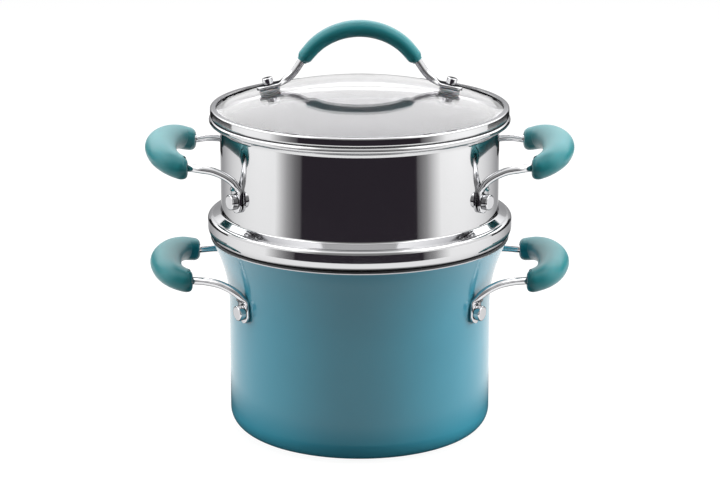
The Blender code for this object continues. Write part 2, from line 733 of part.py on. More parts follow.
def build_lid():
    frame = make_frame("lid", POT_HEIGHT + FIT + STEAMER_HEIGHT)
    glass = turned("lid_glass", glass_section(), frame, "tempered_glass")
    turned("lid_band", band_section(), frame, "polished_steel", ring=True)

    path = lid_arch_path()
    rod = rod_stations(path, LID_FOOT_OUT + LID_FOOT_IN, across_lid)
    handle = add_piece("lid_handle", loft("arch", rod, ROD_SIDES), frame, "polished_steel")
    grip_path = trim_path(path, LID_GRIP_LENGTH)
    grip = sleeve_stations(
        grip_path, across_lid,
        lambda middle: LID_GRIP_WIDTH * (LID_GRIP_END + (1.0 - LID_GRIP_END) * middle),
        lambda middle: LID_GRIP_HEIGHT * (LID_GRIP_END + (1.0 - LID_GRIP_END) * middle))
    sleeve = add_piece("lid_grip", loft("grip", grip, GRIP_SIDES), frame, "teal_silicone")
    bore = ROD_RADIUS + FIT
    core = [(centre, wide, high, bore, bore) for centre, wide, high, width, height in rod
            if width <= ROD_RADIUS]
    cut(sleeve, add_cutter("lid_grip_bore", loft("bore", core, ROD_SIDES), frame))

    feet = {"right": foot_frame(1.0), "left": foot_frame(-1.0)}
    reach = 4.0 * GLASS_THICKNESS
    hole = SCREW_SHANK + FIT
    tab_drill = cylinders("tab_holes", feet.values(), hole, reach, SMALL_STEPS)
    glass_drill = cylinders("glass_holes", feet.values(), hole + SLEEVE_WALL + FIT, reach,
                            SMALL_STEPS)
    cut(handle, add_cutter("lid_handle_holes", tab_drill, frame))
    cut(glass, add_cutter("lid_glass_holes", glass_drill, frame))
    for piece, (section, ring, material) in lid_fastener_sections().items():
        for name, place in feet.items():
            turned(f"{piece}_{name}", section, frame, material, SMALL_STEPS, ring, place)


clear_scene()
PARTS = make_collection("saucepan_with_steamer")
CUTTERS = make_collection("cutters")
build_pot()
build_steamer()
build_lid()
bpy.context.view_layer.update()
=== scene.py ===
# %% [markdown]
# # Saucepan with a steamer insert
#
# Two vessels and a lid in one stack: a teal enamelled pot, a polished steel steamer that
# hangs in its mouth, and a glass dome in a steel band. Almost every piece is round, so
# most of this lesson is about drawing a good outline and spinning it. The handles are bent
# rods, and for those a ring is pushed along a path.
#
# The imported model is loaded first. It gives the three bodies that move, and the places
# and sizes that every finer piece has to keep.

from math import asin, cos, degrees, pi, radians, sin, sqrt, tan

import bmesh
import bpy
from mathutils import Matrix, Vector
from mathutils.geometry import interpolate_bezier


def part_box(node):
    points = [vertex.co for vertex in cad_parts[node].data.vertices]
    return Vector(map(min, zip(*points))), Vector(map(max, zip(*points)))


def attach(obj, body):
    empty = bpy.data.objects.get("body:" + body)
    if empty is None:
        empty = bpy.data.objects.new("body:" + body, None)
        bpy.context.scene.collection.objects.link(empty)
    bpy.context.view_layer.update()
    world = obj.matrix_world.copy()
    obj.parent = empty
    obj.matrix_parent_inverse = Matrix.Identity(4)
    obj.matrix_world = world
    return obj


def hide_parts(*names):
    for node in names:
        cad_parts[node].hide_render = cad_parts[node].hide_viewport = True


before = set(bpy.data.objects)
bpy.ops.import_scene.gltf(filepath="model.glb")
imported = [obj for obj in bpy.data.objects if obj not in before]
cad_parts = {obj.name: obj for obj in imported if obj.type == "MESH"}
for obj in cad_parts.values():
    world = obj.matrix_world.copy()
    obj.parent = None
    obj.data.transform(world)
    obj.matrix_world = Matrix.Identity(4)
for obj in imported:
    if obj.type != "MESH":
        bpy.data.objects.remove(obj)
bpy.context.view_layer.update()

# %% [markdown]
# ## Camera
#
# The photograph was taken from a little above, with a long lens that hardly narrows the
# stack towards the bottom. How much the rims open as ellipses gives the camera's height,
# and how much the ellipses differ from the lid to the base gives its distance.

# %% Camera
CAMERA_DISTANCE = 1.600
CAMERA_HEIGHT = 0.5627
CAMERA_PITCH = radians(15.278)
CAMERA_LENS = 125.33

camera = bpy.data.objects.new("camera", bpy.data.cameras.new("camera"))
camera.data.lens = CAMERA_LENS
camera.data.sensor_width = 36.0
camera.data.shift_x = 0.0004
camera.location = (0.0, -CAMERA_DISTANCE, CAMERA_HEIGHT)
camera.rotation_euler = (pi / 2.0 - CAMERA_PITCH, 0.0, 0.0)
bpy.context.scene.collection.objects.link(camera)
bpy.context.scene.camera = camera
bpy.context.scene.view_settings.view_transform = "Standard"
print("camera looks down by", round(degrees(CAMERA_PITCH), 1), "degrees")

# %% [markdown]
# ## Colours and nodes
#
# Colours are written as sRGB hex codes, as a picture editor shows them, and Blender wants
# them linear, so one function turns them. Another adds any kind of node: an input is given
# either a plain value or the output of an earlier node, by its name, or by its number where
# a node has two inputs of one name. A number that is the same all over a surface is set on
# the shader itself, and only what varies is linked to it.

# %% Helpers for materials
def hex_colour(code):
    """An sRGB hex code as linear RGBA."""
    channels = [int(code[i:i + 2], 16) / 255.0 for i in (1, 3, 5)]
    return [c / 12.92 if c <= 0.04045 else ((c + 0.055) / 1.055) ** 2.4 for c in channels] + [1.0]


def add_node(owner, kind, inputs=None, **settings):
    """Add a node to a material or world, with its settings, values and links."""
    tree = owner.node_tree
    node = tree.nodes.new(kind)
    for name, value in settings.items():
        setattr(node, name, value)
    for key, value in (inputs or {}).items():
        socket = (node.inputs[key] if isinstance(key, int)
                  else next(s for s in node.inputs if s.enabled and s.name == key))
        if isinstance(value, bpy.types.NodeSocket):
            tree.links.new(value, socket)
        else:
            socket.default_value = value
    return node


def new_material(name, colour, **values):
    """A material whose shader takes a colour and plain values."""
    material = bpy.data.materials.new(name)
    material.use_nodes = True
    shader = material.node_tree.nodes["Principled BSDF"]
    shader.inputs["Base Color"].default_value = hex_colour(colour)
    for socket, value in values.items():
        shader.inputs[socket.replace("_", " ")].default_value = value
    return material


# A Mix node has an output for each kind of value, and its third one is the colour.
MIXED_COLOUR = 2


def link_to_shader(material, output, socket):
    """Let the output of a node set one input of the material's shader."""
    shader = material.node_tree.nodes["Principled BSDF"]
    material.node_tree.links.new(output, shader.inputs[socket])


def matte_cloth(name, colour, glow="#000000", strength=0.0):
    """Felt, paper or cloth without any gloss, which may glow."""
    return new_material(name, colour, Roughness=1.0, Specular_IOR_Level=0.0,
                        Emission_Color=hex_colour(glow), Emission_Strength=strength)


print("sRGB mid grey is", round(hex_colour("#808080")[0], 3), "in linear light")

# %% [markdown]
# ## Studio
#
# Polished steel has no look of its own: it shows the room. The room here is white, as
# bright as the paper that a photographer hangs all round, and darker low down behind the
# camera, where a real studio is open. That darker side models the enamel. Its gloss is
# weak head-on, so the middle of the pot shows its own teal, and strong at a grazing
# angle, so the sides pick up the white.
#
# Light Path tells the rays apart: the camera sees a plain white room, mirrors see the
# studio, and matte surfaces get a low and even share of it.

# %% White room
def rays_by_kind(owner, in_room, in_mirror, straight):
    """A strength for rays from matte surfaces, for mirrored rays, and for rays that come
    straight from the camera or through glass."""
    path = add_node(owner, "ShaderNodeLightPath")
    seen = add_node(owner, "ShaderNodeMath",
                    {0: path.outputs["Is Camera Ray"], 1: path.outputs["Is Transmission Ray"]},
                    operation="MAXIMUM")
    mirrored = add_node(owner, "ShaderNodeMapRange",
                        {"Value": path.outputs["Is Glossy Ray"], "To Min": in_room,
                         "To Max": in_mirror})
    mixed = add_node(owner, "ShaderNodeMapRange",
                     {"Value": seen.outputs["Value"], "To Min": mirrored.outputs["Result"],
                      "To Max": straight})
    return mixed.outputs["Result"]


ROOM_LIGHT = 0.14
DARK_SIDE_RISE = radians(15.0)
DARK_SIDE = Vector((0.0, -cos(DARK_SIDE_RISE), sin(DARK_SIDE_RISE)))
DARK_SIDE_LIGHT = 0.28
DARK_SIDE_OUTER = radians(50.0)
DARK_SIDE_INNER = radians(27.0)

world = bpy.data.worlds.new("white_room")
world.use_nodes = True
bpy.context.scene.world = world
coords = add_node(world, "ShaderNodeTexCoord")
nearness = add_node(world, "ShaderNodeVectorMath",
                    {0: coords.outputs["Generated"], 1: DARK_SIDE}, operation="DOT_PRODUCT")
room = add_node(world, "ShaderNodeMapRange",
                {"Value": nearness.outputs["Value"], "From Min": cos(DARK_SIDE_OUTER),
                 "From Max": cos(DARK_SIDE_INNER), "To Min": 1.0, "To Max": DARK_SIDE_LIGHT},
                interpolation_type="SMOOTHSTEP")
background = world.node_tree.nodes["Background"]
background.inputs["Color"].default_value = hex_colour("#ffffff")
world.node_tree.links.new(rays_by_kind(world, ROOM_LIGHT, room.outputs["Result"], 1.0),
                          background.inputs["Strength"])
print("the darkest part of the room is", DARK_SIDE_LIGHT, "of white")

# %% [markdown]
# ## Floor
#
# The floor is a wide disc of white paper, just below the pot so the two never share a
# plane. It is partly lit and partly glows, so it stays white and still takes a shadow.

# %% Floor
FLOOR_RADIUS = 6.0
FLOOR_SIDES = 96
FLOOR_DROP = 0.0002
FLOOR_GLOW = 0.93
FLOOR_IN_MIRROR = 0.88
FLOOR_BOUNCE = 0.17

bm = bmesh.new()
bmesh.ops.create_circle(bm, cap_ends=True, segments=FLOOR_SIDES, radius=FLOOR_RADIUS,
                        matrix=Matrix.Translation((0.0, 0.0, -FLOOR_DROP)))
floor_mesh = bpy.data.meshes.new("studio_floor")
bm.to_mesh(floor_mesh)
bm.free()
floor = bpy.data.objects.new("studio_floor", floor_mesh)
bpy.context.scene.collection.objects.link(floor)

# Background paper: matte, with no gloss at all, so the eye sees only its tone and a shadow.
paper = matte_cloth("white_paper", "#5c5c5c", "#ffffff")
link_to_shader(paper, rays_by_kind(paper, FLOOR_BOUNCE, FLOOR_IN_MIRROR, FLOOR_GLOW),
               "Emission Strength")
floor_mesh.materials.append(paper)
print("floor", 2.0 * FLOOR_RADIUS, "m across")

# %% [markdown]
# ## Sheets that only mirrors see
#
# A product photographer shapes bright metal with black and white cards just outside the
# picture. Here each card is a mesh that the camera and matte surfaces do not see, so it
# changes reflections and nothing else. A card on the floor is a line that is swung about
# the pot's axis, because a round wall turns a sector of floor into an upright band.

# %% Sheets that only mirrors see
SECTOR_STEPS = 64


def mirror_only(name, bm, in_glass=False):
    """A sheet of the studio that shows in mirrors but not to the camera or matte things."""
    mesh = bpy.data.meshes.new(name)
    bm.to_mesh(mesh)
    bm.free()
    sheet = bpy.data.objects.new(name, mesh)
    sheet.visible_camera = False
    sheet.visible_diffuse = False
    sheet.visible_transmission = in_glass
    sheet.visible_shadow = False
    bpy.context.scene.collection.objects.link(sheet)
    return sheet


def sector(points, middle, half_angle):
    """A line of points, each a radius and a height, swung about Z through a sector."""
    bm = bmesh.new()
    start = Matrix.Rotation(middle - half_angle, 4, "Z")
    verts = [bm.verts.new(start @ Vector((radius, 0.0, height))) for radius, height in points]
    edges = [bm.edges.new(pair) for pair in zip(verts, verts[1:])]
    bmesh.ops.spin(bm, geom=verts + edges, cent=(0.0, 0.0, 0.0), axis=(0.0, 0.0, 1.0),
                   dvec=(0.0, 0.0, 0.0), angle=2.0 * half_angle, steps=SECTOR_STEPS,
                   use_merge=False)
    return bm


def upright_sheet(width, foot, top, place, turn):
    """A flat sheet from one height to another, as a bmesh, turned about Z."""
    bm = bmesh.new()
    bmesh.ops.create_grid(bm, x_segments=1, y_segments=1, size=0.5)
    bmesh.ops.scale(bm, vec=(width, top - foot, 1.0), verts=bm.verts)
    bmesh.ops.transform(bm, matrix=(Matrix.Translation((*place, (top + foot) / 2.0))
                                    @ Matrix.Rotation(turn, 4, "Z")
                                    @ Matrix.Rotation(pi / 2.0, 4, "X")), verts=bm.verts)
    return bm


print("a quarter sector bends by", degrees(pi / 2.0) / SECTOR_STEPS, "degrees a step")

# %% [markdown]
# ## Dark card in front
#
# A steel wall that is seen from a little above mirrors the ground before it, so the card
# that gives the steamer its dark middle lies flat in front. Its colour ramp goes round the
# pot by angle, in pairs of degrees and darkness: two hard edges near the middle, and soft
# ones outside them.

# %% Dark card in front of the pot
CARD_NEAR = 0.50
CARD_FAR = 5.0
CARD_EDGES = radians(72.0)
CARD_STRENGTH = [(-69.0, 0.0), (-63.0, 0.35), (-58.0, 0.61), (-51.0, 0.83), (-46.0, 0.92),
                 (-45.4, 1.0), (44.4, 1.0), (45.0, 0.91), (53.0, 0.68), (58.0, 0.40),
                 (63.0, 0.14), (66.0, 0.0)]
CARD_HEIGHT = 0.002

card = mirror_only("dark_card", sector([(CARD_NEAR, CARD_HEIGHT), (CARD_FAR, CARD_HEIGHT)],
                                       -pi / 2.0, CARD_EDGES))

# Black felt: it swallows the lamps, and the deep, faintly violet tone it gives mirrors is
# painted light, a faint glow that stands in for the little light the felt would catch.
black_felt = matte_cloth("black_felt", "#000000", "#2f2a31", 1.0)
coords = add_node(black_felt, "ShaderNodeTexCoord")
apart = add_node(black_felt, "ShaderNodeSeparateXYZ", {"Vector": coords.outputs["Object"]})
towards = add_node(black_felt, "ShaderNodeMath", {0: apart.outputs["Y"], 1: -1.0},
                   operation="MULTIPLY")
bearing = add_node(black_felt, "ShaderNodeMath",
                   {0: apart.outputs["X"], 1: towards.outputs["Value"]}, operation="ARCTAN2")
share = add_node(black_felt, "ShaderNodeMapRange",
                 {"Value": bearing.outputs["Value"], "From Min": -CARD_EDGES,
                  "From Max": CARD_EDGES})
fade = add_node(black_felt, "ShaderNodeValToRGB", {"Fac": share.outputs["Result"]})
while len(fade.color_ramp.elements) < len(CARD_STRENGTH):
    fade.color_ramp.elements.new(0.5)
for stop, (at, darkness) in zip(fade.color_ramp.elements, CARD_STRENGTH):
    stop.position = 0.5 + radians(at) / (2.0 * CARD_EDGES)
    stop.color = (darkness, darkness, darkness, 1.0)
link_to_shader(black_felt, fade.outputs["Color"], "Alpha")
card.data.materials.append(black_felt)
print("stops of darkness on the front card:", len(CARD_STRENGTH))

# %% [markdown]
# ## Dark cards behind and at the sides
#
# A smaller card behind darkens the rims that lean away from the camera. At either side a
# narrow strip on the floor draws the dark line under the bead, and an upright flag, too
# far off for the steamer's wall to mirror it, draws the one on the lid's band.

# %% Dark cards behind and at the sides
BACK_CARD_NEAR = 0.80
BACK_CARD_FAR = 1.75
BACK_CARD_EDGES = radians(30.0)
STRIP_NEAR = 0.44
STRIP_FAR = 0.53
FLAG_DISTANCE = 0.98
FLAG_TOP = 0.35
FLAG_MIDDLE = radians(40.0)
FLAG_EDGES = radians(20.0)

# Each card: the line that is swung, and the middle and the half angle of its sector.
GREY_CARDS = {"back_card": ([(BACK_CARD_NEAR, CARD_HEIGHT), (BACK_CARD_FAR, CARD_HEIGHT)],
                            pi / 2.0, BACK_CARD_EDGES)}
for side, middle in (("right", FLAG_MIDDLE), ("left", pi - FLAG_MIDDLE)):
    GREY_CARDS[f"{side}_strip"] = ([(STRIP_NEAR, CARD_HEIGHT), (STRIP_FAR, CARD_HEIGHT)],
                                   middle, FLAG_EDGES)
    GREY_CARDS[f"{side}_flag"] = ([(FLAG_DISTANCE, CARD_HEIGHT), (FLAG_DISTANCE, FLAG_TOP)],
                                  middle, FLAG_EDGES)

# Grey felt: lit by the lamps, so its dark lines on the steel are a shade softer.
grey_felt = matte_cloth("grey_felt", "#323234")
for name, (points, middle, half_angle) in GREY_CARDS.items():
    mirror_only(name, sector(points, middle, half_angle)).data.materials.append(grey_felt)
print("grey cards:", ", ".join(GREY_CARDS))

# %% [markdown]
# ## Dark patch under the pot
#
# Close to the pot the paper lies in the pot's own shade, and the foot of the enamel
# mirrors that shade. The floor here glows evenly, so a dark disc that only mirrors see,
# and that fades out round the pot, takes the place of the shade.

# %% Dark patch under the pot
PATCH_RADIUS = 0.11
PATCH_FADE = 0.05
PATCH_SIDES = 64

bm = bmesh.new()
bmesh.ops.create_circle(bm, cap_ends=True, segments=PATCH_SIDES,
                        radius=PATCH_RADIUS + PATCH_FADE,
                        matrix=Matrix.Translation((0.0, 0.0, -FLOOR_DROP / 2.0)))
patch = mirror_only("dark_patch", bm)

# A shadow has no surface of its own: nearly black in the middle, and gone at the edge.
contact_shade = new_material("contact_shade", "#1a1a1c", Roughness=1.0)
coords = add_node(contact_shade, "ShaderNodeTexCoord")
radius = add_node(contact_shade, "ShaderNodeVectorMath", {"Vector": coords.outputs["Object"]},
                  operation="LENGTH")
dark = add_node(contact_shade, "ShaderNodeMapRange",
                {"Value": radius.outputs["Value"], "From Min": PATCH_RADIUS,
                 "From Max": PATCH_RADIUS + PATCH_FADE, "To Min": 1.0, "To Max": 0.0})
link_to_shader(contact_shade, dark.outputs["Result"], "Alpha")
patch.data.materials.append(contact_shade)
print("shade reaches", PATCH_RADIUS + PATCH_FADE, "m from the middle")

# %% [markdown]
# ## Lit scrim behind
#
# Behind the set hangs a cloth that is lit more strongly towards its top. The glass dome
# and every surface that leans away from the camera show it. It gives the far half of the
# dome its pale sweep, and it is seen through the glass as well as in it.

# %% Lit scrim behind
SCRIM_WIDTH = 4.0
SCRIM_FOOT = 0.50
SCRIM_TOP = 2.60
SCRIM_DISTANCE = 1.3
SCRIM_FULL_HEIGHT = 1.6
SCRIM_LOW_GLOW = 1.7
SCRIM_FULL_GLOW = 3.2

scrim = mirror_only("lit_scrim", upright_sheet(SCRIM_WIDTH, SCRIM_FOOT, SCRIM_TOP,
                                               (0.0, SCRIM_DISTANCE), 0.0), in_glass=True)

# Backlit cloth: an even white that fades downwards, as cloth does away from its lamp.
lit_cloth = matte_cloth("lit_cloth", "#000000", "#ffffff")
coords = add_node(lit_cloth, "ShaderNodeTexCoord")
apart = add_node(lit_cloth, "ShaderNodeSeparateXYZ", {"Vector": coords.outputs["Object"]})
lit = add_node(lit_cloth, "ShaderNodeMapRange",
               {"Value": apart.outputs["Z"], "From Min": SCRIM_FOOT,
                "From Max": SCRIM_FULL_HEIGHT, "To Min": SCRIM_LOW_GLOW,
                "To Max": SCRIM_FULL_GLOW})
link_to_shader(lit_cloth, lit.outputs["Result"], "Emission Strength")
scrim.data.materials.append(lit_cloth)
print("scrim", SCRIM_WIDTH, "m wide,", SCRIM_DISTANCE, "m behind")

# %% [markdown]
# ## Side panels
#
# Two bright cloths hang high at the sides. Surfaces that look up and out show them: the
# ends of the steamer's shoulder, the upper sides of the rods and the backs of the grips.

# %% Side panels
PANEL_WIDTH = 1.3
PANEL_FOOT = 0.80
PANEL_TOP = 3.0
PANEL_PLACE = (1.0, -0.25)
PANEL_GLOW = 2.4

# Panel cloth: one plain bright white, the same all over.
panel_cloth = matte_cloth("panel_cloth", "#000000", "#ffffff", PANEL_GLOW)
for side, sign in (("right", 1.0), ("left", -1.0)):
    panel = mirror_only(f"{side}_panel", upright_sheet(
        PANEL_WIDTH, PANEL_FOOT, PANEL_TOP, (sign * PANEL_PLACE[0], PANEL_PLACE[1]), pi / 2.0))
    panel.data.materials.append(panel_cloth)
print("side panels", PANEL_TOP - PANEL_FOOT, "m tall")

# %% [markdown]
# ## Lamps
#
# Mirrors do not see the lamps. Only matte surfaces do: the silicone, and the colour under
# the enamel's gloss. Two tall soft boxes stand at the sides, a weak one behind the camera
# keeps the fronts from going black, and a wide one above lights the tops.

# %% Lamps
def soft_box(name, place, aim, width, height, power):
    """A rectangular area lamp at a place, turned to face a point."""
    lamp = bpy.data.objects.new(name, bpy.data.lights.new(name, "AREA"))
    lamp.data.shape = "RECTANGLE"
    lamp.data.size = width
    lamp.data.size_y = height
    lamp.data.energy = power
    lamp.location = place
    lamp.rotation_euler = (Vector(aim) - Vector(place)).to_track_quat("-Z", "Y").to_euler()
    lamp.visible_camera = False
    lamp.visible_glossy = False
    lamp.visible_transmission = False
    bpy.context.scene.collection.objects.link(lamp)


STACK_MIDDLE = (0.0, 0.0, 0.12)
# Each lamp: its place, its width and height, and its power in watts.
LAMPS = {"left_soft_box": ((-1.2, -0.05, 0.40), 0.8, 1.0, 15.0),
         "right_soft_box": ((1.2, -0.05, 0.40), 0.8, 1.0, 22.0),
         "front_soft_box": ((0.0, -1.9, 0.20), 1.2, 0.8, 2.2),
         "overhead_panel": ((0.0, 0.30, 1.30), 1.8, 1.6, 36.0)}
for name, (place, width, height, power) in LAMPS.items():
    soft_box(name, place, STACK_MIDDLE, width, height, power)
print("lamps:", len(LAMPS), "with", sum(lamp[-1] for lamp in LAMPS.values()), "W together")

# %% [markdown]
# ## Enamel
#
# The pot's colour is porcelain enamel fired on aluminium: glassy, even, and very slightly
# wavy where the melt has flowed. The pigment lies deep in the glass, so a soft base
# carries the colour, and a clear coat over it carries the sharp mirror.

# %% Teal enamel
# Fired enamel gives the eye a deep, even colour under a mirror that grows towards the
# sides. Its tone clouds a little over 45 mm, and its surface flows in ripples of 4 mm.
ENAMEL_CLOUDS = 0.045
ENAMEL_RIPPLE = 0.004

teal_enamel = new_material("teal_enamel", "#3f7c8b", Roughness=0.30, IOR=1.28,
                           Coat_Weight=0.88, Coat_Roughness=0.07, Coat_IOR=1.53)
coords = add_node(teal_enamel, "ShaderNodeTexCoord")
clouds = add_node(teal_enamel, "ShaderNodeTexNoise",
                  {"Vector": coords.outputs["Object"], "Scale": 1.0 / ENAMEL_CLOUDS,
                   "Detail": 3.0, "Roughness": 0.5})
tone = add_node(teal_enamel, "ShaderNodeMix",
                {"Factor": clouds.outputs["Fac"], "A": hex_colour("#338297"),
                 "B": hex_colour("#398ca1")}, data_type="RGBA")
link_to_shader(teal_enamel, tone.outputs[MIXED_COLOUR], "Base Color")
ripple = add_node(teal_enamel, "ShaderNodeTexNoise",
                  {"Vector": coords.outputs["Object"], "Scale": 1.0 / ENAMEL_RIPPLE,
                   "Detail": 1.0})
flow = add_node(teal_enamel, "ShaderNodeBump",
                {"Height": ripple.outputs["Fac"], "Strength": 0.05, "Distance": 0.0002})
for socket in ("Normal", "Coat Normal"):
    link_to_shader(teal_enamel, flow.outputs["Normal"], socket)
print("ripples across one cloud of the enamel:", round(ENAMEL_CLOUDS / ENAMEL_RIPPLE))

# %% [markdown]
# ## Coating and bare metal
#
# Inside, such a pot has a dark nonstick coating, sprayed on, with fine pale specks. The
# edge of the rim and the underside are bare aluminium, cut clean on a lathe, so they
# carry fine rings round the pot's axis.

# %% Dark nonstick coating and bare base
# Sprayed nonstick gives the eye a soft charcoal sheen, broken by specks 2.5 mm apart.
SPECK_SPACING = 0.0025

nonstick = new_material("nonstick_coating", "#2b2b2d", Roughness=0.42, IOR=1.4)
coords = add_node(nonstick, "ShaderNodeTexCoord")
specks = add_node(nonstick, "ShaderNodeTexVoronoi",
                  {"Vector": coords.outputs["Object"], "Scale": 1.0 / SPECK_SPACING})
dots = add_node(nonstick, "ShaderNodeMapRange",
                {"Value": specks.outputs["Distance"], "From Min": 0.10, "From Max": 0.16,
                 "To Min": 0.35, "To Max": 0.0})
speckled = add_node(nonstick, "ShaderNodeMix",
                    {"Factor": dots.outputs["Result"], "A": hex_colour("#2b2b2d"),
                     "B": hex_colour("#8d8e90")}, data_type="RGBA")
link_to_shader(nonstick, speckled.outputs[MIXED_COLOUR], "Base Color")

# Turned aluminium gives the eye a bright satin with rings. A lathe tool steps on by about
# 0.25 mm a turn, and the rings are drawn at 1.6 mm, so that they show. A wave texture of
# scale 1 has its rings a tenth of pi apart.
TOOL_STEP = 0.0015791367
WAVE_PERIOD = pi / 10.0

turned_aluminium = new_material("turned_aluminium", "#c9cbcd", Metallic=1.0, Roughness=0.3)
coords = add_node(turned_aluminium, "ShaderNodeTexCoord")
grooves = add_node(turned_aluminium, "ShaderNodeTexWave",
                   {"Vector": coords.outputs["Object"], "Scale": WAVE_PERIOD / TOOL_STEP},
                   wave_type="RINGS", rings_direction="Z", wave_profile="SIN")
cut_marks = add_node(turned_aluminium, "ShaderNodeBump",
                     {"Height": grooves.outputs["Fac"], "Strength": 0.25, "Distance": 0.0001})
link_to_shader(turned_aluminium, cut_marks.outputs["Normal"], "Normal")
print("specks to one ring of the lathe:", round(SPECK_SPACING / TOOL_STEP, 1))

# %% [markdown]
# ## Polished sheet steel
#
# The steamer and the lid's band are stainless sheet, polished to a mirror after pressing.
# Pressed sheet is never quite true, so a slow, shallow wave is laid on its surface: it
# bends the reflections without showing as a dent. Wiping leaves a faint, patchy haze.

# %% Polished sheet steel
# Buffed stainless gives the eye the room itself, a shade darker than it is, with soft
# waves of 35 mm and hazy patches of 12 mm.
SHEET_WAVE = 0.035
WIPE_PATCH = 0.012

# The grey edge tint darkens the sheet where it is seen edge-on: that is painted shade, in place
# of dark reflections.
polished_steel = new_material("polished_sheet_steel", "#d9d9da", Metallic=1.0,
                              Roughness=0.07, Specular_Tint=hex_colour("#a0a0a2"))
coords = add_node(polished_steel, "ShaderNodeTexCoord")
press = add_node(polished_steel, "ShaderNodeTexNoise",
                 {"Vector": coords.outputs["Object"], "Scale": 1.0 / SHEET_WAVE, "Detail": 0.5})
wavy = add_node(polished_steel, "ShaderNodeBump",
                {"Height": press.outputs["Fac"], "Strength": 0.08, "Distance": 0.0008})
link_to_shader(polished_steel, wavy.outputs["Normal"], "Normal")
wipe = add_node(polished_steel, "ShaderNodeTexNoise",
                {"Vector": coords.outputs["Object"], "Scale": 1.0 / WIPE_PATCH, "Detail": 4.0})
haze = add_node(polished_steel, "ShaderNodeMapRange",
                {"Value": wipe.outputs["Fac"], "To Min": 0.045, "To Max": 0.10})
link_to_shader(polished_steel, haze.outputs["Result"], "Roughness")
print("hazy patches to one wave of the sheet:", round(SHEET_WAVE / WIPE_PATCH, 1))

# %% [markdown]
# ## Satin sheet steel
#
# Inside, the steamer stays as it comes from the brushing wheel: fine lines run round the
# wall and smear every reflection into a soft sheen. The lines are one noise, stretched
# level, on the object's own coordinates.

# %% Satin sheet steel
# Brushed stainless gives the eye a pale, directionless glow with level lines. Real lines
# are about 0.1 mm apart, and these are drawn at 0.67 mm and 20 mm long, so that they show.
BRUSH_LENGTH = 0.020
BRUSH_SPACING = BRUSH_LENGTH / 30.0

satin_steel = new_material("satin_sheet_steel", "#cfcfd1", Metallic=1.0, Roughness=0.32)
coords = add_node(satin_steel, "ShaderNodeTexCoord")
stretched = add_node(satin_steel, "ShaderNodeMapping",
                     {"Vector": coords.outputs["Object"],
                      "Scale": (1.0, 1.0, BRUSH_LENGTH / BRUSH_SPACING)})
brush = add_node(satin_steel, "ShaderNodeTexNoise",
                 {"Vector": stretched.outputs["Vector"], "Scale": 1.0 / BRUSH_LENGTH,
                  "Detail": 3.0})
lines = add_node(satin_steel, "ShaderNodeBump",
                 {"Height": brush.outputs["Fac"], "Strength": 0.15, "Distance": 0.0002})
link_to_shader(satin_steel, lines.outputs["Normal"], "Normal")
print("a brushed line is as long as", round(BRUSH_LENGTH / BRUSH_SPACING), "lines are wide")

# %% [markdown]
# ## Drawn rod steel
#
# Handles, rivets, screws and nuts are small and round, so each shows the whole studio
# within a few millimetres. They are drawn and then tumbled bright.

# %% Drawn rod steel
# Drawn steel gives the eye sharp black and white streaks, and it is duller in patches of
# 4 mm. It darkens towards the edges of the rod through a near-black edge tint, which is
# painted shade in place of dark reflections.
DRAW_PATCH = 0.004

rod_steel = new_material("drawn_rod_steel", "#e2e2e4", Metallic=1.0, Roughness=0.10,
                         Specular_Tint=hex_colour("#303032"))
coords = add_node(rod_steel, "ShaderNodeTexCoord")
draw = add_node(rod_steel, "ShaderNodeTexNoise",
                {"Vector": coords.outputs["Object"], "Scale": 1.0 / DRAW_PATCH, "Detail": 3.0})
dull = add_node(rod_steel, "ShaderNodeMapRange",
                {"Value": draw.outputs["Fac"], "To Min": 0.02, "To Max": 0.07})
link_to_shader(rod_steel, dull.outputs["Result"], "Roughness")
print("dull patches of", DRAW_PATCH, "m on the rods")

# %% [markdown]
# ## Tempered glass
#
# The lid is clear tempered glass. Its look is the light that it bends and mirrors. Glass
# softens a little while it is tempered, and the rollers or the mould leave a slow wave.

# %% Tempered glass
# Clear glass gives the eye a faint veil of reflections over what lies behind it, and the
# wave of 30 mm keeps their edges from being ruler-straight.
GLASS_WAVE = 0.030
GLASS_IOR = 1.5

tempered_glass = new_material("tempered_glass", "#f8f7f9", Roughness=0.0, IOR=GLASS_IOR,
                              Transmission_Weight=1.0)
coords = add_node(tempered_glass, "ShaderNodeTexCoord")
sag = add_node(tempered_glass, "ShaderNodeTexNoise",
               {"Vector": coords.outputs["Object"], "Scale": 1.0 / GLASS_WAVE, "Detail": 0.5})
slow_wave = add_node(tempered_glass, "ShaderNodeBump",
                     {"Height": sag.outputs["Fac"], "Strength": 0.25, "Distance": 0.0003})
link_to_shader(tempered_glass, slow_wave.outputs["Normal"], "Normal")
print("light is slower in the glass by a factor of", GLASS_IOR)

# %% [markdown]
# ## Silicone
#
# The grips are moulded silicone rubber: matte, soft-edged in its highlights, and slightly
# translucent, with a fine grain from the mould's etched skin. The gaskets under the lid's
# feet are the same rubber without pigment, milky and a little cloudy.

# %% Teal silicone
# Pigmented silicone gives the eye a velvety teal whose highlights have no edge. A mould's
# grain is about 0.1 mm, and it is drawn at 0.7 mm, so that it breaks up the light.
GRIP_GRAIN = 0.0007
PIGMENT_CLOUD = 0.020

